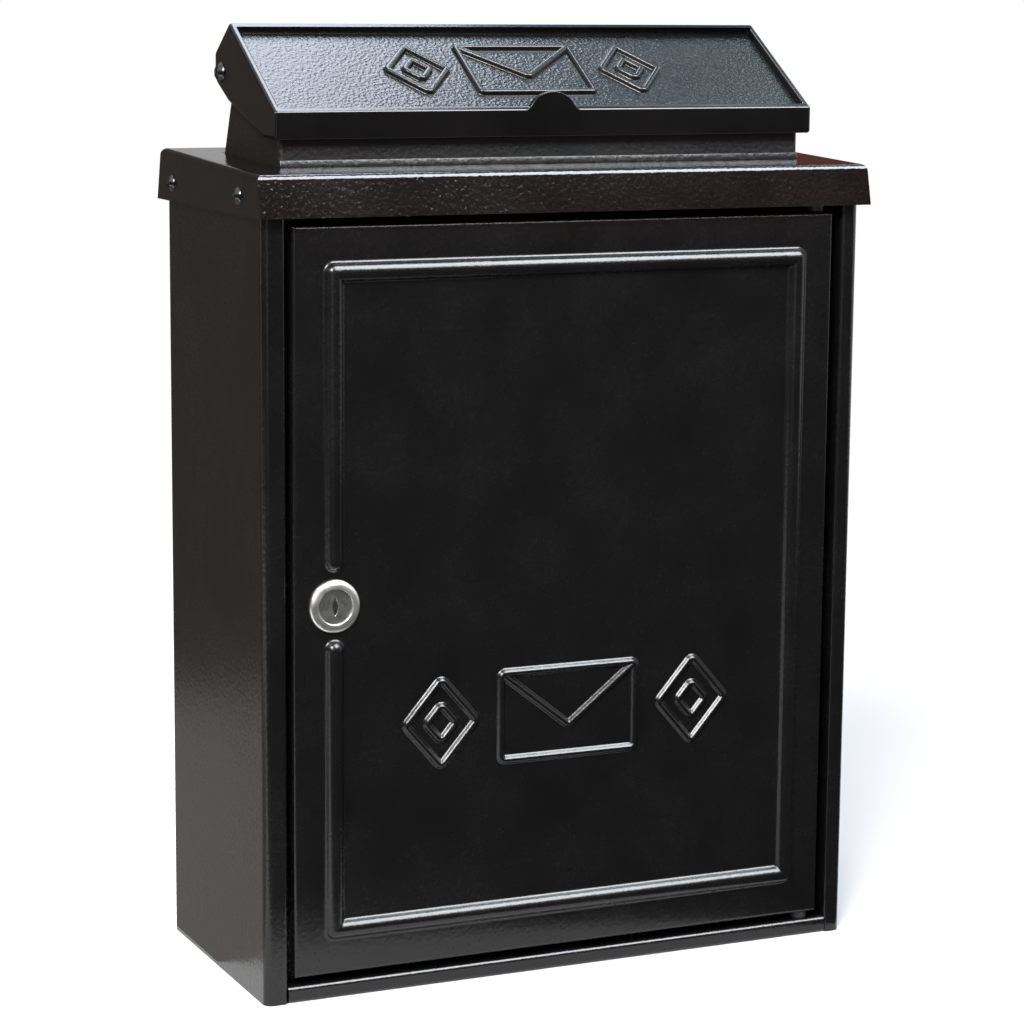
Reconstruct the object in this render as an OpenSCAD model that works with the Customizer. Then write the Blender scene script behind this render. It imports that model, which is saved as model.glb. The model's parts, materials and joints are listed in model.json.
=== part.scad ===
// Wall letter box: a folded steel cabinet with an inset door, a pitched roof tray, a letter chute
// and a hooded cast lid. Millimetres, +Z up, and the door faces -Y.
// The origin is the centre of the cabinet's flat base.

/* [Cabinet] */
// Width over the side walls
cabinet_w = 270; // [230:1:340]
// Depth from the front lips to the back wall
cabinet_d = 118; // [108:1:170]
// Height of the roof's lower edge above the base
rim_h = 321; // [240:1:420]
// Thickness of the cabinet's sheet
sheet = 1.2; // [0.8:0.1:1.5]
// Inner radius of the folds at the four upright corners
corner_r = 2.4; // [1:0.1:4]
// Inner radius of the small folds along lips and flanges
lip_r = 0.8; // [0.4:0.1:1.2]
// Width of the front lip on the lock side
lock_lip_w = 10; // [8:0.5:14]
// Width of the front lip on the hinge side
hinge_lip_w = 8.2; // [7:0.2:12]
// Height of the front lip below the door
sill_h = 7; // [6:0.5:12]
// Height of the flanges that stand round the floor
floor_flange_h = 12; // [8:1:20]
// Width of the stop flange that the door closes against
stop_w = 6; // [4:0.5:6.5]
// How far the hinge side's jamb reaches back past the door's edge
jamb_reach = 3; // [2:0.5:6]

/* [Wall fixing] */
// Distance between the wall screws, left to right
wall_pitch_x = 190; // [150:5:200]
// Distance between the wall screws, top to bottom
wall_pitch_z = 220; // [150:5:230]
// Diameter of the holes for the wall screws
wall_hole_d = 6; // [4:0.5:8]
// Depth of the pressed stand-offs round the holes
standoff_h = 5.5; // [5.4:0.1:8]
// Diameter of a stand-off where it meets the wall
standoff_top_d = 20; // [16:1:24]
// Diameter of a stand-off at the back panel
standoff_base_d = 34; // [30:1:40]
// Height of the middle of the wall screws above the middle of the cabinet
wall_rise = 10; // [0:1:20]

/* [Roof] */
// Thickness of the roof's sheet
roof_sheet = 1.5; // [1:0.1:2]
// Height of the roof's front skirt
roof_skirt_h = 17; // [16:0.5:24]
// Fall of the roof towards the front, in degrees
roof_pitch = 2.2; // [1:0.1:4]
// Lean of the front and rear skirts, in degrees
roof_flare = 13; // [8:0.5:16]
// How far the front and rear skirts reach past the cabinet at their lower edge
roof_reach = 5.3; // [5:0.1:5.4]
// Outer radius of the folds along the roof's top edges
roof_fold_r = 2.8; // [2:0.1:4]
// Diameter of the roof screws' threads
roof_screw_d = 4; // [3:0.5:5]
// Height of the roof screws above the roof's lower edge
roof_screw_h = 7.6; // [7:0.1:9]
// Distance from the front lips to the front roof screw
roof_screw_front = 21; // [18:1:30]
// Distance from the back wall to the rear roof screw
roof_screw_back = 14; // [12:1:24]
// Gap between the side walls and the roof's side skirts, which the rivet nuts' flanges fill
roof_gap = 0.9; // [0.6:0.1:1.2]
// Height of the roof screws' heads
roof_head_h = 2.2; // [1.6:0.1:2.6]
// Length of the rivet nuts, measured in from the side walls
rivet_nut_l = 10; // [8:0.5:14]

/* [Letter chute] */
// Width of the chute outside
chute_w = 236.8; // [200:0.2:260]
// Distance from the cabinet's front to the chute's front wall
chute_front = 25.4; // [24:0.2:32]
// Height of the chute's front wall above the roof
chute_h = 18; // [16:0.5:24]
// Height of the letters' way in, measured up the slope of the mouth
mouth_run = 56; // [55:0.5:57]
// Lean of the chute's rear wall, in degrees
chute_lean = 21.8; // [20:0.2:23]
// Width of the flange that holds the chute under the roof
chute_flange_w = 9; // [6:0.5:12]

/* [Lid] */
// Slope of the lid's panel, in degrees
lid_slope = 32.2; // [31:0.2:33]
// Thickness of the lid's panel under its recess
lid_panel_t = 3.2; // [2.6:0.1:3.6]
// Depth of the recess within the rim
recess_d = 2.7; // [1.5:0.1:3]
// Width of the rim round the recess
rim_w = 2.8; // [2.2:0.1:4]
// Thickness of the lid's front skirt
lid_skirt_t = 2.8; // [2:0.1:3.2]
// Height of the lid's front skirt
lid_skirt_h = 11; // [9:0.5:12]
// Thickness of the lid's cheeks
cheek_t = 2.6; // [2:0.1:3.2]
// Gap between the chute's front wall and the lid's front skirt
lid_front_gap = 2.1; // [1.8:0.1:3]
// Distance from the chute's upper edge back to the lid's ridge
lid_ridge_back = 1.8; // [1.6:0.1:2]
// Thickness of the lid's rear wall
lid_back_t = 2; // [1.6:0.1:2.4]
// Slope of the rear panel behind the ridge, in degrees
lid_back_slope = 35; // [33:0.5:37]
// Gap between the lid's underside and the chute's mouth
lid_gap = 0.4; // [0.3:0.05:0.8]
// Width of the finger tab at its foot
tab_w = 21.5; // [18:0.5:36]
// Height of the finger tab above the front rim
tab_h = 7.4; // [5:0.2:9]
// Radius of the curves at the finger tab's foot
tab_foot_r = 2.5; // [1:0.5:4]
// Diameter of the pivot screws
pivot_d = 5; // [4:0.5:5]
// Distance from the chute's front wall to the pivot screws
pivot_back = 59.2; // [58.4:0.1:59.6]
// Height of the pivot screws above the roof
pivot_h = 33.8; // [33.4:0.1:34.2]
// Radius of the chute's ears round the pivot screws
ear_r = 5.4; // [4.8:0.1:5.6]
// Radius of the pivot screws' heads
pivot_head_r = 4.3; // [3.5:0.1:5]
// Height of the pivot screws' heads
pivot_head_h = 2.6; // [2:0.1:3]
// Distance across the flats of the pivot screws' nuts
pivot_nut_flats = 8; // [7:0.5:9]
// Thickness of the pivot screws' nuts
pivot_nut_t = 4; // [3:0.5:5]
// Thickness of the washers between the chute and the lid
washer_t = 0.9; // [0.6:0.1:1.5]

/* [Door] */
// Gap between the door and the lip on the lock side
gap_lock = 2.5; // [1.5:0.1:3]
// Gap between the door and the lip on the hinge side
gap_hinge = 4.3; // [4:0.1:6]
// Gap below the door
gap_bottom = 3.2; // [2:0.1:5]
// Gap above the door
gap_top = 3; // [2:0.1:5]
// Depth of the door's folded edge
door_edge_d = 11; // [10:0.5:12]
// Outer radius of the folds round the door's face
door_fold_r = 1.8; // [1.4:0.1:3]
// Distance from the door's side edges to its moulding
bead_margin_x = 12.5; // [10:0.5:30]
// Distance from the door's top and bottom edges to its moulding
bead_margin_z = 14; // [10:0.5:30]
// Width of the moulding
bead_w = 10; // [8:0.5:14]
// Height of the moulding
bead_h = 3.2; // [2:0.1:4]
// Distance from the door's edge to the hinge pins' axis, both inwards and backwards
hinge_inset = 6; // [5.6:0.1:6.4]
// Diameter of the hinge pins
hinge_pin_d = 4; // [3:0.5:5]
// Diameter of the hinge pins' heads
hinge_head_d = 7; // [6:0.5:9]
// Thickness of the hinge pins' heads
hinge_head_t = 1.5; // [1:0.1:2]
// How far the hinge pins reach past the sheet that they turn in
hinge_reach = 2; // [1:0.5:3]
// Distance from the door's side edges to the stiffener
stiffener_margin = 41; // [36:1:60]
// Height of the stiffener behind the door
stiffener_h = 135; // [80:1:150]
// Distance from the door's top edge to the stiffener
stiffener_drop = 42; // [30:1:60]
// Thickness of the stiffener's sheet
stiffener_t = 1; // [0.8:0.1:1.5]
// Depth of the stiffener's folded edge
stiffener_edge = 6; // [4:0.5:10]

/* [Lock] */
// Height of the lock above the base
lock_z = 164.5; // [100:0.5:220]
// Diameter of the lock's bezel
bezel_d = 21.8; // [20:0.2:25]
// Diameter of the lock's barrel
barrel_d = 18; // [16:0.5:18]
// Distance across the barrel's two flats
barrel_flats = 15.8; // [15.5:0.1:17]
// Diameter of the plug's face
plug_face_d = 14.6; // [13:0.1:14.8]
// Diameter of the plug's shank
plug_d = 11; // [10:0.2:11.4]
// Length of the cam from the lock's axis to its tip
cam_len = 25; // [22.5:0.1:26]
// Width of the cam
cam_w = 13; // [10:0.5:14]
// Thickness of the cam
cam_t = 2; // [1.5:0.1:2.5]
// Height of the bezel above the door's face
bezel_t = 2.2; // [1.8:0.1:3]
// Width of the bead-free pad round the bezel
pad_margin = 2.3; // [2:0.1:4]
// Distance across the flats of the barrel's nut
nut_flats = 22; // [20:0.5:22]
// Thickness of the barrel's nut
nut_t = 3.5; // [3:0.5:5]
// Thickness of the washer under the barrel's nut
lock_washer_t = 0.8; // [0.5:0.1:1.2]
// How far the plug's face lies below the bezel's rim
plug_sink = 0.8; // [0.5:0.1:1]
// Width of the keyway at its middle
keyway_w = 2.6; // [2:0.1:3]
// Height of the keyway
keyway_h = 7.5; // [6:0.1:9]
// Side of the plug's square end that carries the cam
tang = 7; // [6:0.5:7.5]
// Diameter of the cam screw
cam_screw_d = 4; // [3:0.5:4]
// How far the cam screw goes into the plug
cam_screw_grip = 5; // [4:0.5:6]
// Distance across the flats of the cam screw's head
cam_head_flats = 7; // [7:0.5:8]
// Height of the cam screw's head
cam_head_h = 2.4; // [2:0.1:3]
// Diameter of the cam washer
cam_washer_d = 11; // [9:0.5:12]
// Thickness of the cam washer
cam_washer_t = 0.8; // [0.5:0.1:1.2]

/* [Clearances] */
// Radial clearance of a shaft that turns in a hole
running = 0.06; // [0.03:0.01:0.1]
// Gap between faces that pass each other
passing = 0.3; // [0.2:0.05:0.5]
// Radial clearance of a screw in a hole that it only passes through
loose = 0.2; // [0.1:0.05:0.3]

/* [Hidden] */
$fn = 48;
eps = 0.01;
fold_steps = 6;
bead_steps = 7;
black = [0.1, 0.1, 0.11];
zinc = [0.62, 0.63, 0.65];
nickel = [0.75, 0.75, 0.77];
nylon = [0.07, 0.07, 0.07];

front_y = -cabinet_d / 2;
back_y = cabinet_d / 2;
lock_lip_x = -cabinet_w / 2 + lock_lip_w;
hinge_lip_x = cabinet_w / 2 - hinge_lip_w;

// The door's outline and the frame that it closes against
door_x0 = lock_lip_x + gap_lock;
door_x1 = hinge_lip_x - gap_hinge;
door_z0 = sill_h + gap_bottom;
door_z1 = rim_h - gap_top;
jamb_d = door_edge_d + passing;
hinge_jamb_d = door_edge_d + jamb_reach;
hinge_x = door_x1 - hinge_inset;
hinge_y = front_y + hinge_inset;

// The roof: its top plane falls to the front about a line at the front edge
roof_half_w = cabinet_w / 2 + roof_gap + roof_sheet;
roof_front_z = rim_h + roof_skirt_h;
roof_lean = tan(roof_flare);
roof_y0 = front_y - roof_reach;
roof_y1 = back_y + roof_reach;
roof_top_y0 = roof_y0 + roof_skirt_h * roof_lean;
function roof_z(y) = roof_front_z + (y - roof_top_y0) * tan(roof_pitch);
roof_top_y1 = (roof_y1 - (roof_front_z - rim_h - roof_top_y0 * tan(roof_pitch)) * roof_lean)
            / (1 + tan(roof_pitch) * roof_lean);
shell_h = roof_z(front_y) - roof_sheet / cos(roof_pitch) - passing;
rail_z = rim_h;
rail_d = chute_front - chute_flange_w - passing;
roof_screw_y = [front_y + roof_screw_front, back_y - roof_screw_back];
roof_screw_z = rim_h + roof_screw_h;
rivet_wall = 1;
nut_body_r = roof_screw_d / 2 + rivet_wall;
wall_z = rim_h / 2 + wall_rise;

// The chute: upright front wall, sloped mouth, leaning rear wall
chute_x = chute_w / 2;
chute_y0 = front_y + chute_front;
mouth_z0 = roof_z(chute_y0) + chute_h;
mouth_top = [chute_y0 + mouth_run * cos(lid_slope), mouth_z0 + mouth_run * sin(lid_slope)];
function chute_rear(z) = mouth_top[0] + (mouth_top[1] - z) * tan(chute_lean);
pivot_y = chute_y0 + pivot_back;
pivot = [pivot_y, roof_z(pivot_y) + pivot_h];

// The lid: everything lies outside the chute by the lid's gap
lid_rise = lid_gap + lid_panel_t + recess_d;
side_play = 0.1;
cheek_x0 = chute_x + washer_t + side_play;
lid_x = cheek_x0 + cheek_t;
lid_y0 = chute_y0 - lid_front_gap - lid_skirt_t;
function rim_z(y) = mouth_z0 + (y - chute_y0) * tan(lid_slope) + lid_rise / cos(lid_slope);
function under_z(y) = rim_z(y) - (lid_panel_t + recess_d) / cos(lid_slope);
lid_back_y = pivot[0] + ear_r + passing + lid_back_t;
lid_back_foot = pivot[1] - 0.65 * ear_r;
ridge_y = mouth_top[0] + lid_ridge_back;
ridge_z = rim_z(ridge_y);
function back_z(y) = ridge_z - (y - ridge_y) * tan(lid_back_slope);
lid_z0 = rim_z(lid_y0);
lid_foot_z = lid_z0 - lid_skirt_h;
cheek_foot_y = lid_y0 + 1.25 * lid_skirt_h;
cheek_low = pivot - [1.6 * ear_r, 2.17 * ear_r];

// The lock, on the moulding's centre line. Depths are measured from the door's face.
lock_x = door_x0 + bead_margin_x + bead_w / 2;
pad_r = bezel_d / 2 + pad_margin;
plug_shoulder = 3;
barrel_end = jamb_d + sheet + passing;
cam_seat = barrel_end + side_play;
cam_back = cam_seat + cam_t;
cam_screw_r = cam_screw_d / 2;

// A point list with its corners turned into arcs of the given radii
function unit(v) = v / norm(v);
function corner(p0, p1, p2, r) =
    let (a = unit(p0 - p1), b = unit(p2 - p1), half = acos(a * b) / 2,
         c = p1 + unit(a + b) * r / sin(half), s = p1 + a * r / tan(half) - c,
         e = p1 + b * r / tan(half) - c, a0 = atan2(s[1], s[0]), a1 = atan2(e[1], e[0]),
         turn = ((a1 - a0 + 540) % 360) - 180)
    [for (i = [0:fold_steps]) c + r * [cos(a0 + turn * i / fold_steps), sin(a0 + turn * i / fold_steps)]];
function rounded(pts, radii) =
    let (n = len(pts))
    [for (i = [0:n - 1])
        each radii[i] > 0 ? corner(pts[(i + n - 1) % n], pts[i], pts[(i + 1) % n], radii[i]) : [pts[i]]];

// A folded strip: the path runs along one face and the sheet lies to its right
function right_of(a, b) = let (d = unit(b - a)) [d[1], -d[0]];
function beside(path, i, t) =
    let (n = len(path), a = right_of(path[max(i - 1, 0)], path[max(i, 1)]),
         b = right_of(path[min(i, n - 2)], path[min(i + 1, n - 1)]))
    path[i] + t * (a + b) / (1 + a * b);
function turns_right(path, i) =
    let (a = path[i] - path[i - 1], b = path[i + 1] - path[i]) a[0] * b[1] - a[1] * b[0] < 0;
function folded(path, t, inner) =
    let (n = len(path), bent = [for (i = [0:n - 1]) i > 0 && i < n - 1],
         outer_r = [for (i = [0:n - 1]) !bent[i] ? 0 : inner[i] + (turns_right(path, i) ? t : 0)],
         inner_r = [for (i = [0:n - 1]) !bent[i] ? 0 : inner[i] + (turns_right(path, i) ? 0 : t)])
    rounded(concat(path, [for (i = [n - 1:-1:0]) beside(path, i, t)]),
            concat(outer_r, [for (i = [n - 1:-1:0]) inner_r[i]]));

// Solids drawn from an outline seen from the side (Y and Z) or from the front (X and Z)
module along_x(x0, x1) { translate([x0, 0, 0]) rotate([90, 0, 90]) linear_extrude(x1 - x0) children(); }
module along_y(y0, y1) { translate([0, y1, 0]) rotate([90, 0, 0]) linear_extrude(y1 - y0) children(); }
module rod_x(x0, x1, r, at) { translate([x0, at[0], at[1]]) rotate([0, 90, 0]) cylinder(h = x1 - x0, r = r); }
module rod_z(z0, z1, r, at) { translate([at[0], at[1], z0]) cylinder(h = z1 - z0, r = r); }
module both_sides() { children(); mirror([1, 0, 0]) children(); }

// The radius of a circle of which an arc of width w and rise h is a part
function ball_r(w, h) = (w * w / 4 + h * h) / (2 * h);

// A low dome on a screw's head, with its flat side at z = 0
module dome(r, h) {
    ball = ball_r(2 * r, h);
    rotate_extrude() intersection() {
        translate([0, h - ball]) circle(r = ball, $fn = 96);
        square([r, h]);
    }
}

// A hexagon along Z
module hex_prism(flats, t) { rotate([0, 0, 30]) cylinder(h = t, r = flats / sqrt(3), $fn = 6); }

// The four places of the wall screws, each with its local +Z towards the wall
module wall_points() {
    for (x = [-1, 1], z = [-1, 1])
        translate([x * wall_pitch_x / 2, back_y, wall_z + z * wall_pitch_z / 2]) rotate([-90, 0, 0]) children();
}

// Cabinet

module cabinet_shell() {
    plan = [[lock_lip_x + stop_w, front_y + jamb_d], [lock_lip_x, front_y + jamb_d], [lock_lip_x, front_y],
            [-cabinet_w / 2, front_y], [-cabinet_w / 2, back_y], [cabinet_w / 2, back_y],
            [cabinet_w / 2, front_y], [hinge_lip_x, front_y], [hinge_lip_x, front_y + hinge_jamb_d]];
    folds = [0, lip_r, lip_r, corner_r, corner_r, corner_r, corner_r, lip_r, 0];
    top_r = standoff_top_d / 2;
    base_r = standoff_base_d / 2;
    slant = sheet / 3;
    inner_w = cabinet_w - 2 * sheet;
    color(black) difference() {
        union() {
            linear_extrude(shell_h) polygon(folded(plan, sheet, folds));
            wall_points() rotate_extrude()
                polygon([[0, -sheet / 2], [base_r, -sheet / 2], [base_r, 0],
                         [top_r, standoff_h], [0, standoff_h]]);
        }
        wall_points() rotate_extrude()
            polygon([[0, -2 * sheet], [base_r - slant, -2 * sheet], [base_r - slant, -sheet],
                     [top_r - slant, standoff_h - sheet], [0, standoff_h - sheet]]);
        wall_points() cylinder(h = 3 * standoff_h, r = wall_hole_d / 2, center = true);
        both_sides() for (y = roof_screw_y)
            rod_x(cabinet_w / 2 - 3 * sheet, cabinet_w / 2 + sheet, nut_body_r, [y, roof_screw_z]);
        translate([-inner_w / 2, front_y + sheet, -sheet]) cube([inner_w, cabinet_d - 2 * sheet, 2 * sheet]);
        for (span = [[-sheet, sill_h + passing], [rail_z - passing, shell_h + sheet]])
            translate([lock_lip_x, front_y + jamb_d / 2, span[0]])
                cube([stop_w + sheet, jamb_d, span[1] - span[0]]);
    }
}

// The floor lies inside the shell, with its lip level with the front lips
module floor_tray() {
    x = cabinet_w / 2 - sheet;
    lip = [[back_y - sheet, floor_flange_h], [back_y - sheet, 0], [front_y, 0], [front_y, sill_h],
           [front_y + hinge_jamb_d, sill_h]];
    sides = [[x, floor_flange_h], [x, 0], [-x, 0], [-x, floor_flange_h]];
    y0 = front_y + sheet;
    y1 = back_y - sheet;
    r = corner_r + passing;
    color(black) difference() {
        union() {
            along_x(lock_lip_x, hinge_lip_x) polygon(folded(lip, sheet, [0, lip_r, lip_r, lip_r, 0]));
            intersection() {
                along_y(y0, y1) polygon(folded(sides, sheet, [0, lip_r, lip_r, 0]));
                linear_extrude(floor_flange_h)
                    polygon(rounded([[-x, y0], [x, y0], [x, y1], [-x, y1]], [r, r, r, r]));
            }
        }
        rod_z(sheet + lip_r, 2 * sill_h, hinge_pin_d / 2 + running, [hinge_x, hinge_y]);
    }
}

// Channel over the door opening, open to the rear
module head_rail() {
    rear = front_y + rail_d;
    section = [[rear, rail_z], [front_y, rail_z], [front_y, shell_h], [rear, shell_h]];
    color(black) difference() {
        along_x(lock_lip_x, hinge_lip_x) polygon(folded(section, sheet, [0, lip_r, lip_r, 0]));
        rod_z(rail_z - sheet, rail_z + 3 * sheet, hinge_pin_d / 2 + running, [hinge_x, hinge_y]);
    }
}

// Roof and letter chute

module on_roof_plane() {
    translate([0, roof_top_y0, roof_front_z]) rotate([roof_pitch, 0, 0]) children();
}

// The roof's outside, or with t its inside: a side profile crossed with a front profile
module roof_form(t) {
    drop = t > 0 ? 2 * roof_sheet : 0;
    path = [[roof_y0 - drop * roof_lean, rim_h - drop], [roof_top_y0, roof_front_z],
            [roof_top_y1, roof_z(roof_top_y1)], [roof_y1 + drop * roof_lean, rim_h - drop]];
    side = [for (i = [0:3]) t > 0 ? beside(path, i, t) : path[i]];
    x = roof_half_w - t;
    r = roof_fold_r - t;
    intersection() {
        along_x(-x, x) polygon(rounded(side, [0, r, r, 0]));
        on_roof_plane() along_y(-cabinet_d, 2 * cabinet_d)
            polygon(rounded([[-x, -cabinet_d], [-x, -t], [x, -t], [x, -cabinet_d]], [0, r, r, 0]));
    }
}

module roof_tray() {
    under = roof_z(chute_y0) - 2 * roof_sheet;
    color(black) difference() {
        roof_form(0);
        roof_form(roof_sheet);
        along_x(-chute_x - loose, chute_x + loose)
            polygon([[chute_y0 - loose, rim_h], [chute_y0 - loose, mouth_z0],
                     [chute_rear(under) + loose, mouth_z0], [chute_rear(under) + loose, rim_h]]);
        both_sides() for (y = roof_screw_y)
            rod_x(cabinet_w / 2, roof_half_w + sheet, roof_screw_d / 2 + loose, [y, roof_screw_z]);
    }
}

module letter_chute() {
    flange_t = roof_sheet + sheet;
    foot = function(y) roof_z(y) - (flange_t - sheet / 2) / cos(roof_pitch);
    foot_y = chute_rear(foot(back_y / 2));
    side = [[chute_y0, foot(chute_y0)], [chute_y0, mouth_z0], mouth_top, [foot_y, foot(foot_y)]];
    low = rim_h;
    high = ridge_z;
    in = sheet / cos(chute_lean);
    flange_y0 = chute_y0 - chute_flange_w - roof_top_y0;
    flange_y1 = foot_y + chute_flange_w - roof_top_y0;
    flange_x = chute_x + chute_flange_w;
    bend_r = lip_r + sheet;
    neck = 1.8 * ear_r;
    color(black) difference() {
        union() {
            intersection() {
                union() {
                    along_x(sheet / 2 - chute_x, chute_x - sheet / 2) polygon(side);
                    both_sides() along_x(chute_x - sheet, chute_x) {
                        polygon(side);
                        translate(pivot) circle(r = ear_r);
                        translate(pivot) rotate(chute_lean)
                            translate([-2 * ear_r, -neck / 2]) square([2 * ear_r, neck]);
                    }
                }
                linear_extrude(high + chute_h)
                    polygon(rounded([[-chute_x, back_y], [-chute_x, chute_y0],
                                     [chute_x, chute_y0], [chute_x, back_y]], [0, bend_r, bend_r, 0]));
            }
            on_roof_plane() translate([-flange_x, flange_y0, -flange_t])
                cube([2 * flange_x, flange_y1 - flange_y0, sheet]);
        }
        along_x(sheet - chute_x, chute_x - sheet)
            polygon([[chute_y0 + sheet, low], [chute_y0 + sheet, high],
                     [chute_rear(high) - in, high], [chute_rear(low) - in, low]]);
        rod_x(-cabinet_w, cabinet_w, pivot_d / 2 + loose, pivot);
    }
}

// Lid

// The finger tab: an arc with a curve at either foot, standing on the line z = 0
function tab_outline(foot_r) =
    let (r = ball_r(tab_w, tab_h), drop = r - tab_h, reach = r + foot_r,
         foot_x = sqrt(reach * reach - pow(drop + foot_r, 2)), a = acos(foot_x / reach))
    concat([for (i = [0:fold_steps]) let (t = -90 - (90 - a) * i / fold_steps)
                [foot_x + foot_r * cos(t), foot_r + foot_r * sin(t)]],
           [for (i = [1:2 * fold_steps]) let (t = a + (90 - a) * i / (2 * fold_steps))
                [r * cos(t), r * sin(t) - drop]]);

module lid() {
    outside = [[lid_y0, lid_foot_z], [lid_y0, lid_z0], [ridge_y, ridge_z], [lid_back_y, back_z(lid_back_y)],
               [lid_back_y, lid_back_foot], cheek_low, [cheek_foot_y, lid_foot_z]];
    outside_r = [0, 1, 1.2, 2.5, 5, 4, 3];
    in_y0 = lid_y0 + lid_skirt_t;
    in_y1 = lid_back_y - lid_back_t;
    back_in = lid_back_t / cos(lid_back_slope);
    ridge_in_y = (back_z(0) - back_in - under_z(0)) / (tan(lid_slope) + tan(lid_back_slope));
    inside = [[in_y0, rim_h], [in_y0, under_z(in_y0)], [ridge_in_y, under_z(ridge_in_y)],
              [in_y1, back_z(in_y1) - back_in], [in_y1, rim_h]];
    inside_r = [0, 0.8, 0.8, 0.8, 0];
    field_l = (ridge_y - lid_y0) / cos(lid_slope) - rim_w;
    field_x = lid_x - rim_w;
    field = [[-field_x, rim_w], [-field_x, field_l], [field_x, field_l], [field_x, rim_w]];
    half_tab = tab_outline(tab_foot_r);
    last = len(half_tab) - 1;
    tab = concat(half_tab, [for (i = [last - 1:-1:0]) [-half_tab[i][0], half_tab[i][1]]],
                 [[-half_tab[0][0], -lid_skirt_t], [half_tab[0][0], -lid_skirt_t]]);
    color(black) difference() {
        union() {
            difference() {
                along_x(-lid_x, lid_x) polygon(rounded(outside, outside_r));
                along_x(-cheek_x0, cheek_x0) polygon(rounded(inside, inside_r));
                translate([0, lid_y0, lid_z0]) rotate([lid_slope, 0, 0]) translate([0, 0, -recess_d])
                    linear_extrude(3 * recess_d) polygon(rounded(field, [1, 1, 1, 1]));
            }
            along_y(lid_y0, lid_y0 + rim_w) translate([0, lid_z0]) polygon(tab);
        }
        rod_x(-cabinet_w, cabinet_w, pivot_d / 2 + running, pivot);
    }
}

module pivot_screw() {
    head_x = lid_x + side_play;
    color(black) {
        translate([head_x, pivot[0], pivot[1]]) rotate([0, 90, 0]) dome(pivot_head_r, pivot_head_h);
        rod_x(chute_x - sheet - 1.4 * pivot_nut_t, head_x + eps, pivot_d / 2, pivot);
    }
}
module lid_pivot_screw_left() { mirror([1, 0, 0]) pivot_screw(); }
module lid_pivot_screw_right() { pivot_screw(); }

module lid_pivot_washers() {
    color(nylon) both_sides() difference() {
        rod_x(chute_x, chute_x + washer_t, ear_r - passing, pivot);
        rod_x(chute_x - sheet, chute_x + 2 * washer_t, pivot_d / 2 + loose, pivot);
    }
}

module lid_pivot_nuts() {
    x = chute_x - sheet - pivot_nut_t;
    color(zinc) both_sides() difference() {
        translate([x, pivot[0], pivot[1]]) rotate([chute_lean, 0, 0]) rotate([0, 90, 0])
            hex_prism(pivot_nut_flats, pivot_nut_t);
        rod_x(x - pivot_nut_t, x + 2 * pivot_nut_t, pivot_d / 2 + eps, pivot);
    }
}

module roof_screws() {
    color(black) both_sides() for (y = roof_screw_y) {
        translate([roof_half_w, y, roof_screw_z]) rotate([0, 90, 0]) dome(0.88 * roof_screw_d, roof_head_h);
        rod_x(cabinet_w / 2 - 0.9 * rivet_nut_l, roof_half_w + eps, roof_screw_d / 2 - eps, [y, roof_screw_z]);
    }
}
// Each nut's flange fills the gap between the wall and the roof's skirt
module roof_rivet_nuts() {
    x = cabinet_w / 2;
    color(zinc) both_sides() for (y = roof_screw_y) difference() {
        union() {
            rod_x(x, x + roof_gap, nut_body_r + 1.5 * rivet_wall, [y, roof_screw_z]);
            rod_x(x - rivet_nut_l, x + roof_gap / 2, nut_body_r, [y, roof_screw_z]);
            rod_x(x - sheet - 3 * rivet_wall, x - sheet, nut_body_r + 1.2 * rivet_wall, [y, roof_screw_z]);
        }
        rod_x(x - 2 * rivet_nut_l, x + 2 * roof_gap, roof_screw_d / 2, [y, roof_screw_z]);
    }
}

// Door

// The door's outside, or with t its inside, as far back as y1
module pan(t, y1) {
    x0 = door_x0 + t;
    x1 = door_x1 - t;
    z0 = door_z0 + t;
    z1 = door_z1 - t;
    y0 = front_y + t;
    r = door_fold_r - t;
    intersection() {
        translate([0, 0, z0]) linear_extrude(z1 - z0)
            polygon(rounded([[x0, y1], [x0, y0], [x1, y0], [x1, y1]], [0, r, r, 0]));
        along_x(x0, x1) polygon(rounded([[y1, z0], [y0, z0], [y0, z1], [y1, z1]], [0, r, r, 0]));
    }
}

// Half of the moulding's section: how far it stands up at a distance u from its edge
function bead_rise(u, w) =
    let (ball = ball_r(w, bead_h)) sqrt(ball * ball - pow(w / 2 - u, 2)) - (ball - bead_h);
function rise_points(w) =
    [for (i = [0:bead_steps]) let (u = w / 2 * sin(90 * i / bead_steps)) [u, bead_rise(u, w)]];

// The moulding as a ring: a mound with rounded shoulders, less the basin within its crest.
// back is how far it goes on behind the plane that it stands on.
module bead_ring(inset, w, plane, back) {
    up = rise_points(w);
    x = [door_x0 + bead_margin_x + inset, door_x1 - bead_margin_x - inset];
    z = [door_z0 + bead_margin_z + inset, door_z1 - bead_margin_z - inset];
    down = [for (i = [bead_steps:-1:0]) up[i]];
    high = plane - 2 * bead_h;
    mound = function(a) concat([[a[0], plane + back]], [for (p = up) [a[0] + p[0], plane - p[1]]],
                               [for (p = down) [a[1] - p[0], plane - p[1]]], [[a[1], plane + back]]);
    basin = function(a) concat([[a[0] + w / 2, high]], [for (p = down) [a[0] + w - p[0], plane - p[1]]],
                               [for (p = up) [a[1] - w + p[0], plane - p[1]]], [[a[1] - w / 2, high]]);
    flip = function(pts) [for (p = pts) [p[1], p[0]]];
    difference() {
        intersection() {
            translate([0, 0, z[0]]) linear_extrude(z[1] - z[0]) polygon(mound(x));
            along_x(x[0], x[1]) polygon(flip(mound(z)));
        }
        intersection() {
            translate([0, 0, z[0]]) linear_extrude(z[1] - z[0]) polygon(basin(x));
            along_x(x[0], x[1]) polygon(flip(basin(z)));
        }
    }
}

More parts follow.
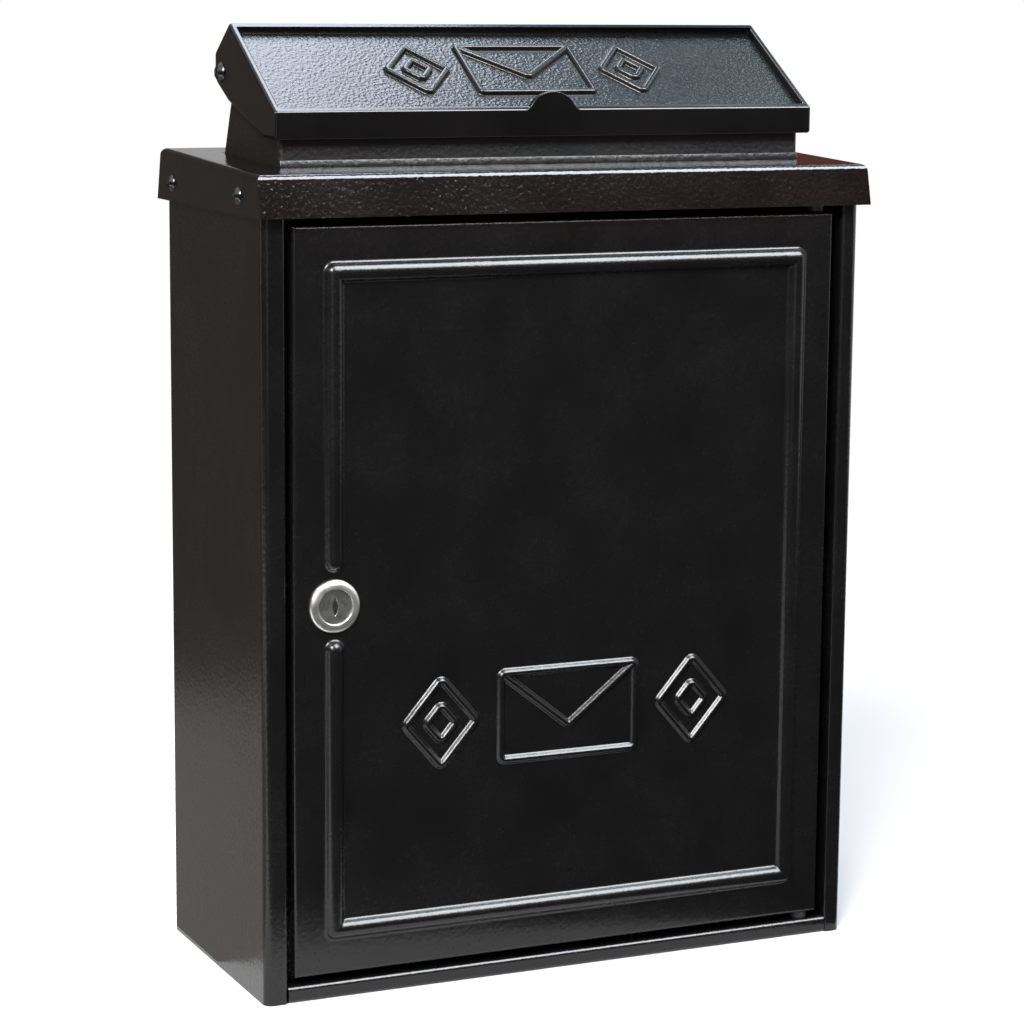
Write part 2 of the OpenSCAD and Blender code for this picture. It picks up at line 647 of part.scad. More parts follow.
module at_lock() { translate([lock_x, front_y, lock_z]) rotate([-90, 0, 0]) children(); }
module barrel_section(gap) {
    intersection() {
        circle(r = barrel_d / 2 + gap);
        square([barrel_flats + 2 * gap, 2 * barrel_d], center = true);
    }
}

module door_panel() {
    ball = ball_r(bead_w, bead_h) - sheet;
    groove_w = 2 * sqrt(ball * ball - pow(ball - bead_h, 2));
    color(black) difference() {
        union() {
            pan(0, front_y + door_edge_d);
            difference() {
                bead_ring(0, bead_w, front_y, sheet / 2);
                at_lock() translate([0, 0, -2 * bead_h]) cylinder(h = 4 * bead_h, r = pad_r);
            }
        }
        pan(sheet, front_y + 2 * door_edge_d);
        difference() {
            bead_ring((bead_w - groove_w) / 2, groove_w, front_y + sheet, sheet / 2);
            at_lock() translate([0, 0, -2 * bead_h]) cylinder(h = 4 * bead_h, r = pad_r);
        }
        at_lock() translate([0, 0, -bead_h]) linear_extrude(3 * bead_h) barrel_section(loose / 2);
        rod_z(0, 2 * rim_h, hinge_pin_d / 2, [hinge_x, hinge_y]);
    }
}

module door_stiffener() {
    x = [door_x0 + stiffener_margin, door_x1 - stiffener_margin];
    z = [door_z1 - stiffener_drop - stiffener_h, door_z1 - stiffener_drop];
    y = front_y + sheet;
    r = stiffener_edge;
    corners = function(t) [[x[0] + t, z[0] + t], [x[1] - t, z[0] + t],
                           [x[1] - t, z[1] - t], [x[0] + t, z[1] - t]];
    outline = function(t) rounded(corners(t), [r - t, r - t, r - t, r - t]);
    color(black) difference() {
        along_y(y, y + stiffener_edge) polygon(outline(0));
        along_y(y + stiffener_t, y + 2 * stiffener_edge) polygon(outline(stiffener_t));
    }
}

// A headed pin through the door's edge; dir is 1 for the upper one and -1 for the lower one
module hinge_pin(flange_z, dir, reach) {
    color(zinc) translate([hinge_x, hinge_y, flange_z]) mirror([0, 0, dir < 0 ? 1 : 0]) {
        translate([0, 0, -sheet - hinge_head_t]) cylinder(h = hinge_head_t, r = hinge_head_d / 2);
        translate([0, 0, -sheet - eps]) cylinder(h = sheet + eps + reach, r = hinge_pin_d / 2);
    }
}
module hinge_pin_top() { hinge_pin(door_z1, 1, gap_top + sheet + hinge_reach); }
module hinge_pin_bottom() { hinge_pin(door_z0, -1, gap_bottom + sheet + hinge_reach); }

module hinge_spacers() {
    r = 0.95 * hinge_pin_d;
    color(nylon) difference() {
        union() {
            rod_z(door_z1, rail_z - passing, r, [hinge_x, hinge_y]);
            rod_z(sill_h + passing / 3, door_z0, r, [hinge_x, hinge_y]);
        }
        rod_z(0, 2 * rim_h, hinge_pin_d / 2 + eps, [hinge_x, hinge_y]);
    }
}

// Lock: every piece is drawn with its local +Z into the cabinet

module lock_body() {
    r = bezel_d / 2;
    rim_r = plug_face_d / 2 + bezel_t / 4;
    skirt = bezel_t / 4;
    crown = bezel_t - skirt;
    color(nickel) at_lock() difference() {
        union() {
            rotate_extrude() polygon(concat([[0, 0], [r, 0], [r, -skirt]],
                [for (i = [1:fold_steps]) let (a = 90 * i / fold_steps)
                    [rim_r + (r - rim_r) * cos(a), -skirt - crown * sin(a)]],
                [[0, -bezel_t]]));
            linear_extrude(barrel_end) barrel_section(0);
        }
        translate([0, 0, -2 * bezel_t])
            cylinder(h = 2 * bezel_t + plug_shoulder, r = plug_face_d / 2 + running);
        translate([0, 0, -bezel_t]) cylinder(h = 2 * barrel_end, r = plug_d / 2 + running);
    }
}

module lock_washer() {
    color(zinc) at_lock() translate([0, 0, sheet]) linear_extrude(lock_washer_t) difference() {
        circle(r = pad_r - 2 * bezel_t / 3);
        circle(r = barrel_d / 2 + loose);
    }
}

module lock_nut() {
    color(zinc) at_lock() translate([0, 0, sheet + lock_washer_t]) difference() {
        hex_prism(nut_flats, nut_t);
        translate([0, 0, -nut_t]) cylinder(h = 3 * nut_t, r = barrel_d / 2 + eps);
    }
}

module lock_plug() {
    face = plug_sink - bezel_t;
    bow = ball_r(keyway_h, keyway_w / 2);
    color(nickel) at_lock() difference() {
        union() {
            translate([0, 0, face]) cylinder(h = plug_shoulder - face - running, r = plug_face_d / 2);
            cylinder(h = cam_seat, r = plug_d / 2);
            translate([-tang / 2, -tang / 2, barrel_end]) cube([tang, tang, cam_back - barrel_end]);
        }
        translate([0, 0, -bezel_t]) linear_extrude(keyway_h) intersection() {
            translate([bow - keyway_w / 2, 0]) circle(r = bow);
            translate([keyway_w / 2 - bow, 0]) circle(r = bow);
        }
        translate([0, 0, barrel_end - cam_screw_grip - loose]) cylinder(h = barrel_end, r = cam_screw_r);
    }
}

// The cam hangs down when the door is unlocked
module lock_cam() {
    r = cam_w / 2;
    color(zinc) at_lock() translate([0, 0, cam_seat]) linear_extrude(cam_t) difference() {
        polygon(rounded([[-r, -r], [r, -r], [r, cam_len], [-r, cam_len]], [0.95 * r, 0.95 * r, r / 3, r / 3]));
        square(tang + 2 * eps, center = true);
    }
}

module cam_washer() {
    color(zinc) at_lock() translate([0, 0, cam_back]) linear_extrude(cam_washer_t) difference() {
        circle(r = cam_washer_d / 2);
        circle(r = cam_screw_r + loose);
    }
}

module cam_screw() {
    seat = cam_back + cam_washer_t;
    color(zinc) at_lock() {
        translate([0, 0, seat]) hex_prism(cam_head_flats, cam_head_h);
        translate([0, 0, barrel_end - cam_screw_grip])
            cylinder(h = seat - barrel_end + cam_screw_grip + eps, r = cam_screw_r - eps);
    }
}

cabinet_shell();
floor_tray();
head_rail();
roof_tray();
letter_chute();
lid();
lid_pivot_screw_left();
lid_pivot_screw_right();
lid_pivot_washers();
lid_pivot_nuts();
roof_screws();
roof_rivet_nuts();
door_panel();
door_stiffener();
hinge_pin_top();
hinge_pin_bottom();
hinge_spacers();
lock_body();
lock_washer();
lock_nut();
lock_plug();
lock_cam();
cam_washer();
cam_screw();
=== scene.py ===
"""Dresses the wall letter box: pressed door, folded cabinet, pitched roof, letter chute, cast lid and lock.

Every length is in metres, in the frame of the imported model: +Z up, the door faces -Y.
"""
import json
import math
from contextlib import contextmanager
from functools import partial

import bmesh
import bpy
import numpy as np
from bpy.props import FloatProperty, FloatVectorProperty, PointerProperty
from mathutils import Matrix, Vector


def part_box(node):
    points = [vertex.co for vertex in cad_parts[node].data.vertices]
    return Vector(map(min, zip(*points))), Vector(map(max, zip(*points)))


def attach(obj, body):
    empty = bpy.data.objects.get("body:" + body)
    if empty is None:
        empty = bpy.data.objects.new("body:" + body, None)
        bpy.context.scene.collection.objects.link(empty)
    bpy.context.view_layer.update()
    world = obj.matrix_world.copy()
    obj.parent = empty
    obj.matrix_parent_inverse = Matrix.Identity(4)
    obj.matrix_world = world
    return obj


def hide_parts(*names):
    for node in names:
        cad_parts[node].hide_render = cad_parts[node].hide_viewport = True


bl_info = {
    "name": "Letter Box",
    "version": (1, 0, 0),
    "blender": (4, 5, 0),
    "location": "3D View > Sidebar > Letter Box",
    "description": "Builds the looks of a wall letter box around its packed model",
    "category": "Object",
}

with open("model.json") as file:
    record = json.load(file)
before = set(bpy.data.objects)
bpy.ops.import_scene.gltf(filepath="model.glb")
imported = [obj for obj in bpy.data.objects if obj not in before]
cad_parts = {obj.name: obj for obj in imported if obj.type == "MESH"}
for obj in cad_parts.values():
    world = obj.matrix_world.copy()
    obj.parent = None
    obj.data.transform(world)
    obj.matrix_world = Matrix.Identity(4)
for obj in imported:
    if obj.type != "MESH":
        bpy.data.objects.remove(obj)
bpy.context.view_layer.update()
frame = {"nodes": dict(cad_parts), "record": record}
DOOR_LOW, DOOR_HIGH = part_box("door_panel")
LID_LOW, LID_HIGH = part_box("lid")
BEZEL_LOW, BEZEL_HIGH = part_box("lock_body")
STIFFENER_LOW, STIFFENER_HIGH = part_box("door_stiffener")
LOCK_AT = (BEZEL_LOW + BEZEL_HIGH) / 2
ROOF_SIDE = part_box("roof_tray")[1].x
FACE_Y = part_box("cabinet_shell")[0].y

# Points closer than this are one point, and faces that turn by less than this in degrees are one face
MERGE_REACH = 2e-6
FLAT_TURN = 0.4

# Edges that turn by more than this in degrees are eased, and sharp in the foot's shading
EASED_TURN = 32
SHARP_TURN = 35

# Easing of the edges of the lock's bezel, the sheets, the roof, the small parts and the nylon parts
BEZEL_EASE = 0.0016
SHEET_EASE = 0.00025
ROOF_EASE = 0.0003
SMALL_EASE = 0.0002
NYLON_EASE = 0.00015

# The part of a noise's 0 to 1 range that it fills most of the time
NOISE_LOW, NOISE_HIGH = 0.3, 0.7

# Widths of the broad patches in the coat, the metals and the nylon, and of the metals' fine grain
COAT_PATCH = 0.03
METAL_PATCH = 0.004
NYLON_PATCH = 0.003
METAL_GRAIN = 0.0006

# The stiffener's outline on the door: its distance inside the plate's edge, its half width and its height
PRINT_INSET = 0.0015
PRINT_REACH = 0.0016
PRINT_HEIGHT = 0.00005

# Each coat's settings for the grain's width and height, its share of that height, and its other looks
COATS = {
    "fine_coat": ("grain", "height", 1.0, {}),
    "door_coat": ("grain", "height", 0.7, {"with_print": True}),
    "roof_coat": ("grain", "height", 1.5, {"gloss": 0.52}),
    "chute_coat": ("grain", "height", 2.6, {"gloss": 1.8}),
    "cast_coat": ("lid_grain", "lid_height", 1.0, {"with_panel": True}),
    "sign_coat": ("lid_grain", "lid_height", 0.4, {}),
}

# Each metal's colour, roughness and depth of grain
METALS = {
    "black_screw": ((0.1, 0.1, 0.105), 0.16, 0.000004),
    "nickel": ((0.82, 0.81, 0.78), 0.34, 0.000006),
    "plug_nickel": ((0.52, 0.53, 0.5), 0.3, 0.00001),
    "zinc": ((0.55, 0.57, 0.6), 0.36, 0.00001),
}

# The camera's place, its yaw, pitch and roll in degrees, and its lens and sensor in millimetres
CAMERA_PLACE = (-0.5451, -1.1944, 0.4107)
CAMERA_TURN = (-24.545, -9.668, 0.486)
CAMERA_LENS = 108.24
CAMERA_SENSOR = 36

# How far the camera sees
CAMERA_REACH = 200

# Each lamp's name, place, target, size, setting for its power, colour, and whether only gloss sees it
BOX_MIDDLE = (0, 0, 0.2)
LAMPS = (
    ("key_softbox", (-1.1, -1.3, 1.5), BOX_MIDDLE, (0.8, 0.8), "key_power", (1, 1, 1), False),
    ("top_softbox", (0.3, 0.70, 1.78), (0, 0, 0.375), (0.6, 0.8), "top_power", (0.8, 0.86, 1.0), False),
    ("spark_strip", (1.2, 0.5, 1.45), (0.05, 0, 0.38), (0.12, 0.9), "spark_power", (0.85, 0.95, 1.0), False),
    ("front_glow", (0.69, -0.985, 1.665), BOX_MIDDLE, (1.3, 1.25), "glow_power", (0.9, 0.95, 1.0), True),
)

# Each card's name, profile of distances and heights, turn about Z in degrees, half width, and tone's setting
CARDS = (
    ("front_card", [(0.1, 0.002), (1.1, 0.03), (1.5, 0.12), (1.5, 0.4)], 18, 1.3, "dark_card"),
    ("warm_card", [(1.5, 0.4), (1.5, 1.15)], 18, 1.3, "warm_card"),
    ("left_card", [(1.0, 0.003), (1.4, 0.1), (1.5, 0.7)], -70, 1.0, "dark_card"),
    ("near_card", [(0.06, 0.0015), (0.55, 0.003)], 206, 0.6, "middle_card"),
    ("side_card", [(0.55, 0.003), (0.65, 0.03), (0.85, 0.3), (0.9, 0.9)], 206, 0.6, "side_card"),
    ("sky_card", [(0.75, 1.95), (1.5, 1.95)], 122, 0.5, "sky_card"),
    ("brown_card", [(1.5, 0.25), (1.5, 1.0)], 142, 0.36, "brown_card"),
    ("pale_card", [(1.5, 0.25), (1.5, 1.0)], 168, 0.33, "pale_card"),
)

# The floor's reach, the ring over which its own colour gives way to plain white, and that white's light level
FLOOR_REACH = 30.0
FLOOR_RING = (0.45, 1.5)
FLOOR_LEVEL = 0.4


def body_of(node):
    """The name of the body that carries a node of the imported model."""
    return next(name for name, members in frame["record"]["behaviour"]["bodies"].items() if node in members)


def add_object(name, data):
    """A new object at the origin, in the scene."""
    thing = bpy.data.objects.new(name, data)
    bpy.context.scene.collection.objects.link(thing)
    return thing


# Nodes

def add_node(tree, kind, inputs=None, **settings):
    """A node with its settings, and with its inputs set or linked."""
    node = tree.nodes.new(kind)
    for key, value in settings.items():
        setattr(node, key, value)
    for key, value in (inputs or {}).items():
        if isinstance(value, bpy.types.NodeSocket):
            tree.links.new(value, node.inputs[key])
        else:
            node.inputs[key].default_value = value
    return node


def add_step(tree, kind, inputs=None, **settings):
    """A node's first output."""
    return add_node(tree, kind, inputs, **settings).outputs[0]


def add_math(tree, operation, *values):
    """The result of one math node."""
    return add_step(tree, "ShaderNodeMath", dict(enumerate(values)), operation=operation)


def ramp(tree, value, start, end, low=0.0, high=1.0, **settings):
    """Turns the range start to end into low to high, and stays level beyond it."""
    return add_step(tree, "ShaderNodeMapRange", {
        "Value": value, "From Min": start, "From Max": end, "To Min": low, "To Max": high}, **settings)


# Materials

def new_material(name):
    """An empty node material and its tree."""
    material = bpy.data.materials.new(name)
    material.use_nodes = True
    material.node_tree.nodes.clear()
    return material, material.node_tree


def end_material(material, kind, inputs):
    """Ends a material in one shader."""
    shader = add_step(material.node_tree, kind, inputs)
    add_node(material.node_tree, "ShaderNodeOutputMaterial", {"Surface": shader})
    return material


def own_place(tree):
    """The piece's own coordinates."""
    return add_node(tree, "ShaderNodeTexCoord").outputs["Object"]


def add_noise(tree, size, detail=2.0, roughness=0.5):
    """Noise whose blobs are about as wide as size."""
    return add_step(tree, "ShaderNodeTexNoise", {
        "Vector": own_place(tree), "Scale": 1 / size, "Detail": detail, "Roughness": roughness})


def add_cells(tree, size):
    """Rounded cells about as wide as size, as in a hammered or pebbled coat."""
    cells = add_node(tree, "ShaderNodeTexVoronoi", {
        "Vector": own_place(tree), "Scale": 1 / size, "Smoothness": 0.6}, feature="SMOOTH_F1")
    return cells.outputs["Distance"]


def add_bump(tree, height, depth, under=None):
    """The normal of a relief, laid over another normal where one is given."""
    inputs = {"Strength": 1.0, "Distance": depth, "Height": height}
    if under is not None:
        inputs["Normal"] = under
    return add_step(tree, "ShaderNodeBump", inputs)


def spread(tree, noise, low, high):
    """Turns a noise into the range low to high."""
    return ramp(tree, noise, NOISE_LOW, NOISE_HIGH, low, high)


def tint(tree, noise, low, high):
    """Mixes two colours by a noise."""
    mix = add_node(tree, "ShaderNodeMix", {0: spread(tree, noise, 0, 1), 6: (*low, 1), 7: (*high, 1)},
                   data_type="RGBA")
    return mix.outputs[2]


def stiffener_print(tree):
    """A faint raised line where the door's stiffener is fixed on behind."""
    calc = partial(add_math, tree)
    split = add_node(tree, "ShaderNodeSeparateXYZ", {0: own_place(tree)})
    middle = (STIFFENER_LOW + STIFFENER_HIGH) / 2
    half = (STIFFENER_HIGH - STIFFENER_LOW) / 2
    past_edges = []
    for axis in (0, 2):
        from_middle = calc("ABSOLUTE", calc("SUBTRACT", split.outputs[axis], middle[axis]))
        past_edges.append(calc("SUBTRACT", from_middle, half[axis] - PRINT_INSET))
    near = calc("DIVIDE", calc("ABSOLUTE", calc("MAXIMUM", *past_edges)), PRINT_REACH)
    return calc("SUBTRACT", 1.0, calc("MINIMUM", near, 1.0))


def lid_directions(lid):
    """The directions up the slope of the lid's panel and straight out of it."""
    rise, run = math.sin(lid.slope), math.cos(lid.slope)
    return Vector((0, run, rise)), Vector((0, -rise, run))


def panel_mask(tree):
    """1 on the lid's recessed panel and 0 on its rim, skirt and cheeks."""
    lid = bpy.context.scene.letter_box_lid
    calc = partial(add_math, tree)
    from_rim = add_step(tree, "ShaderNodeVectorMath", {0: own_place(tree), 1: (0, LID_LOW.y, lid.rim_height)},
                        operation="SUBTRACT")
    along, rise = (add_node(tree, "ShaderNodeVectorMath", {0: from_rim, 1: way}, operation="DOT_PRODUCT")
                   .outputs["Value"] for way in lid_directions(lid))
    across = calc("ABSOLUTE", add_step(tree, "ShaderNodeSeparateXYZ", {0: from_rim}))
    side = LID_HIGH.x - lid.rim_width
    blend = 0.0004
    inside = calc("MULTIPLY", ramp(tree, along, 0.8 * lid.rim_width, lid.rim_width),
                  ramp(tree, across, side, side - blend))
    return calc("MULTIPLY", inside, ramp(tree, rise, -0.75 * lid.recess, -0.9 * lid.recess))


def make_coat(name, grain, height, gloss=1.0, with_print=False, with_panel=False):
    """Textured powder coat: a pebbled surface with a soft gloss that varies a little."""
    coat = bpy.context.scene.letter_box_coat
    material, tree = new_material(name)
    calc = partial(add_math, tree)
    broad = add_noise(tree, COAT_PATCH, 3.0)
    fine = add_noise(tree, grain, 2.0, 0.55)
    cells = add_cells(tree, grain * 1.5)
    dark, pale, patch_gloss, grain_gloss, fine_share, cell_share = 0.7, 1.3, 0.015, 0.03, 0.6, 0.7
    low = [channel * dark for channel in coat.colour]
    high = [channel * pale for channel in coat.colour]
    middle = coat.roughness * gloss
    roughness = calc("ADD", spread(tree, broad, -patch_gloss, patch_gloss),
                     spread(tree, fine, middle - grain_gloss, middle + grain_gloss))
    relief = calc("ADD", calc("MULTIPLY", fine, fine_share), calc("MULTIPLY", cells, cell_share))
    if with_panel:
        panel = panel_mask(tree)
        rim_roughness, rim_relief = 0.72, 0.15
        roughness = calc("MULTIPLY", roughness, spread(tree, panel, rim_roughness, 1.0))
        relief = calc("MULTIPLY", relief, spread(tree, panel, rim_relief, 1.0))
    normal = add_bump(tree, relief, height)
    if with_print:
        normal = add_bump(tree, stiffener_print(tree), PRINT_HEIGHT, normal)
    return end_material(material, "ShaderNodeBsdfPrincipled", {
        "Base Color": tint(tree, broad, low, high), "Roughness": roughness, "Normal": normal,
        "Specular IOR Level": coat.specular})


def make_metal(name, colour, roughness, depth):
    """Plated metal with a fine brushed or cast variation in its gloss."""
    material, tree = new_material(name)
    broad = add_noise(tree, METAL_PATCH, 3.0)
    fine = add_noise(tree, METAL_GRAIN)
    dull = [channel * 0.86 for channel in colour]
    gloss = add_math(tree, "ADD", spread(tree, broad, -0.04, 0.04),
                     spread(tree, fine, roughness - 0.03, roughness + 0.05))
    return end_material(material, "ShaderNodeBsdfPrincipled", {
        "Base Color": tint(tree, broad, dull, colour), "Roughness": gloss, "Metallic": 1.0,
        "Normal": add_bump(tree, fine, depth)})


def make_nylon(name):
    """Black nylon with a soft sheen."""
    material, tree = new_material(name)
    broad = add_noise(tree, NYLON_PATCH)
    return end_material(material, "ShaderNodeBsdfPrincipled", {
        "Base Color": tint(tree, broad, (0.02, 0.02, 0.021), (0.03, 0.03, 0.031)),
        "Roughness": spread(tree, broad, 0.42, 0.52), "Normal": add_bump(tree, broad, 0.00002)})


def finish_of(name):
    """The finish with this name, made on first use."""
    label = name + "_finish"
    if label in bpy.data.materials:
        return bpy.data.materials[label]
    if name in METALS:
        return make_metal(label, *METALS[name])
    if name in COATS:
        coat = bpy.context.scene.letter_box_coat
        grain, height, share, looks = COATS[name]
        return make_coat(label, getattr(coat, grain), getattr(coat, height) * share, **looks)
    return make_nylon(label)


# Meshes

@contextmanager
def editing(mesh):
    """Opens a mesh for editing and writes it back."""
    model = bmesh.new()
    model.from_mesh(mesh)
    yield model
    model.to_mesh(mesh)
    model.free()


def point_outwards(mesh):
    """Turns every face of a closed mesh outwards."""
    with editing(mesh) as model:
        bmesh.ops.recalc_face_normals(model, faces=model.faces)


def new_mesh(name, points, edges=(), faces=()):
    """A mesh of points, edges and faces."""
    mesh = bpy.data.meshes.new(name)
    mesh.from_pydata([tuple(point) for point in points], list(edges), list(faces))
    return mesh


def new_piece(name, mesh, finish):
    """A new object at the origin with one material."""
    mesh.materials.clear()
    mesh.materials.append(finish_of(finish))
    return add_object(name, mesh)


def seat(piece, body, slot, *nodes):
    """Hangs a piece on the body that carries it and hides the nodes it stands for; the slot is not used."""
    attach(piece, body)
    if nodes:
        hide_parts(*nodes)


def shade(mesh, degrees):
    """Smooth shading, with a sharp edge wherever faces turn by more than the given angle."""
    mesh.polygons.foreach_set("use_smooth", [True] * len(mesh.polygons))
    mesh.set_sharp_from_angle(angle=math.radians(degrees))


def settle(piece):
    """Turns a piece's modifiers into its plain mesh."""
    bpy.context.view_layer.update()
    evaluated = piece.evaluated_get(bpy.context.evaluated_depsgraph_get())
    mesh = bpy.data.meshes.new_from_object(evaluated)
    piece.modifiers.clear()
    old = piece.data
    piece.data = mesh
    bpy.data.meshes.remove(old)


def merged_copy(node):
    """A node's mesh as joined faces, with its flat faces in one piece."""
    mesh = frame["nodes"][node].data.copy()
    mesh.name = node + "_dressed"
    with editing(mesh) as model:
        bmesh.ops.remove_doubles(model, verts=model.verts, dist=MERGE_REACH)
        bmesh.ops.dissolve_limit(model, angle_limit=math.radians(FLAT_TURN), verts=model.verts,
                                 edges=model.edges, delimit={"NORMAL"})
    return mesh


def weigh_edges(mesh, sharp, share):
    """Gives each sharp edge its share of the easing's width, by where its middle is."""
    with editing(mesh) as model:
        weight = model.edges.layers.float.new("bevel_weight_edge")
        for edge in model.edges:
            if edge.is_manifold and edge.is_convex and edge.calc_face_angle() > sharp:
                edge[weight] = share((edge.verts[0].co + edge.verts[1].co) / 2)


def dressed(node, finish, slot, edge, steps=2, share=None, clamp=True):
    """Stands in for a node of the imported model, with its edges eased and its coat on."""
    sharp = math.radians(EASED_TURN)
    piece = new_piece(node + "_piece", merged_copy(node), finish)
    ease = piece.modifiers.new("ease", "BEVEL")
    ease.width = edge
    ease.segments = steps
    ease.limit_method = "ANGLE"
    ease.angle_limit = sharp
    ease.use_clamp_overlap = clamp
    ease.miter_outer = "MITER_ARC"
    if share:
        weigh_edges(piece.data, sharp, share)
        ease.limit_method = "WEIGHT"
    shade(piece.data, 40)
    smooth = piece.modifiers.new("weight", "WEIGHTED_NORMAL")
    smooth.keep_sharp = True
    settle(piece)
    seat(piece, body_of(node), slot, node)


# Pressed door

def lattice_stops(low, high, fine_zones, fine, coarse):
    """Coordinates from low to high, close together within the fine zones."""
    edges = sorted({low, high, *(min(max(v, low), high) for zone in fine_zones for v in zone)})
    stops = [low]
    for a, b in zip(edges, edges[1:]):
        inside = any(zone[0] <= (a + b) / 2 <= zone[1] for zone in fine_zones)
        count = max(1, math.ceil((b - a) / (fine if inside else coarse)))
        stops += [a + (b - a) * (i + 1) / count for i in range(count)]
    return np.array(stops)


def ridge_height(distance, width, height, foot):
    """A pressed ridge's section: an arc with a curve at either foot, tangent all the way."""
    half = width / 2
    lean = 2 * math.atan(height / half)
    reach = half / math.sin(lean)
    crown = reach - foot
    u = np.clip(half - np.abs(distance - half), 0, half)
    turn = foot * math.sin(lean)
    low = foot - np.sqrt(np.maximum(foot * foot - u * u, 0))
    high = height - crown + np.sqrt(np.maximum(crown * crown - (half - u) ** 2, 0))
    return np.where(u < turn, low, high)


def inside_distance(x, z, low, high, corner):
    """Distance in from the edge of a rectangle with rounded corners; negative outside."""
    half = (high - low) / 2
    middle = (high + low) / 2
    qx = np.abs(x - middle[0]) - (half[0] - corner)
    qz = np.abs(z - middle[1]) - (half[1] - corner)
    outside = np.hypot(np.maximum(qx, 0), np.maximum(qz, 0)) + np.minimum(np.maximum(qx, qz), 0)
    return corner - outside


def lattice_mesh(name, points):
    """A mesh of quads over a grid of points, seen from -Y with its rows going up."""
    rows, columns = points.shape[:2]
    index = np.arange(rows * columns).reshape(rows, columns)
    quads = np.stack([index[:-1, :-1], index[:-1, 1:], index[1:, 1:], index[1:, :-1]], axis=-1).reshape(-1, 4)
    return new_mesh(name, points.reshape(-1, 3).tolist(), faces=quads.tolist())


def door_grid(door, low, high, bead_low, bead_high):
    """The grid's places across and up the door, fine at the folds, the moulding and the lock."""
    around, beside = 1.05, 0.0005
    nose = door.pad_radius + 1.3 * door.bead_width / 2
    hole = around * door.hole_radius
    turn = np.linspace(0, math.pi / 2, 7)
    lead = door.fold_radius * (1 - np.cos(turn))
    stops = []
    for axis, middle, reach in ((0, LOCK_AT.x, hole), (1, LOCK_AT.z, nose)):
        a, b = bead_low[axis], bead_high[axis]
        zones = [(a - beside, a + door.bead_width + beside), (b - door.bead_width - beside, b + beside),
                 (middle - reach, middle + reach)]
        flat = lattice_stops(low[axis] + door.fold_radius, high[axis] - door.fold_radius, zones,
                             door.fine_pitch, door.coarse_pitch)
        stops.append(np.concatenate([low[axis] + lead[:-1], flat, (high[axis] - lead[:-1])[::-1]]))
    return np.meshgrid(*stops)


def cut_lock_hole(model, door):
    """Opens the door's hole for the lock, a circle with two flats."""
    rim_reach = 1.2

    def reach(at):
        return max(math.hypot(at.x - LOCK_AT.x, at.z - LOCK_AT.z) / door.hole_radius,
                   abs(at.x - LOCK_AT.x) / door.hole_flat)

    hole = [face for face in model.faces if reach(face.calc_center_median()) < 1]
    bmesh.ops.delete(model, geom=hole, context="FACES")
    for vert in model.verts:
        share = reach(vert.co)
        if vert.is_boundary and share < rim_reach:
            vert.co.x = LOCK_AT.x + (vert.co.x - LOCK_AT.x) / share
            vert.co.z = LOCK_AT.z + (vert.co.z - LOCK_AT.z) / share


def fold_back(model, fold):
    """Draws the door's four edges back into flanges, with every face turned to the front."""
    rim = [edge for edge in model.edges if edge.is_boundary
           and max(abs(v.co.y - FACE_Y - fold) for v in edge.verts) < 1e-6]
    grown = bmesh.ops.extrude_edge_only(model, edges=rim)
    for part in grown["geom"]:
        if isinstance(part, bmesh.types.BMVert):
            part.co.y = DOOR_HIGH.y
    bmesh.ops.recalc_face_normals(model, faces=model.faces)
    centre = Vector((0, FACE_Y, LOCK_AT.z))
    front = min(model.faces, key=lambda face: sum(map(abs, face.calc_center_median() - centre)))
    if front.normal.y > 0:
        bmesh.ops.reverse_faces(model, faces=model.faces)


def pressed_door(door):
    """The door's skin: a pan with rounded folds and the moulding pressed out of its face."""
    low = np.array([DOOR_LOW.x, DOOR_LOW.z])
    high = np.array([DOOR_HIGH.x, DOOR_HIGH.z])
    margin = (door.margin_x, door.margin_z)
    bead_low = low + margin
    bead_high = high - margin
    fold = door.fold_radius
    width = door.bead_width
    x, z = door_grid(door, low, high, bead_low, bead_high)

    def sunk(value, axis):
        near = np.minimum(value - low[axis], high[axis] - value)
        return fold - np.sqrt(np.maximum(fold * fold - np.maximum(fold - near, 0) ** 2, 0))

    y = FACE_Y + np.maximum(sunk(x, 0), sunk(z, 1))
    run = inside_distance(x, z, bead_low, bead_high, door.bead_corner)
    from_edge = np.minimum(run, width - run)
    from_lock = np.hypot(x - LOCK_AT.x, z - LOCK_AT.z) - door.pad_radius
    short = np.hypot(np.maximum(width / 2 - from_edge, 0), np.maximum(width / 2 - from_lock, 0))
    rise = ridge_height(np.maximum(width / 2 - short, 0), width, door.bead_height, door.bead_foot)
    mesh = lattice_mesh("door_skin", np.stack([x, y - rise, z], axis=-1))
    with editing(mesh) as model:
        cut_lock_hole(model, door)
        fold_back(model, fold)
    return mesh


# Geometry Nodes

def new_tree(name, sockets):
    """A geometry node tree and its named inputs, given as name, kind and default value."""
    tree = bpy.data.node_groups.new(name, "GeometryNodeTree")
    tree.interface.new_socket("Geometry", in_out="INPUT", socket_type="NodeSocketGeometry")
    for label, kind, value in sockets:
        socket = tree.interface.new_socket(label, in_out="INPUT", socket_type="NodeSocket" + kind)
        socket.default_value = value
    tree.interface.new_socket("Geometry", in_out="OUTPUT", socket_type="NodeSocketGeometry")
    return tree, tree.nodes.new("NodeGroupInput").outputs


def join(tree, *parts):
    """Several geometries as one."""
    node = tree.nodes.new("GeometryNodeJoinGeometry")
    for part in parts:
        tree.links.new(part, node.inputs[0])
    return node.outputs[0]


def end_tree(tree, geometry, material):
    """Ends a tree in real geometry with its material."""
    real = add_step(tree, "GeometryNodeRealizeInstances", {0: geometry})
    coated = add_step(tree, "GeometryNodeSetMaterial", {0: real, "Material": material})
    add_node(tree, "NodeGroupOutput", {0: coated})
    return tree


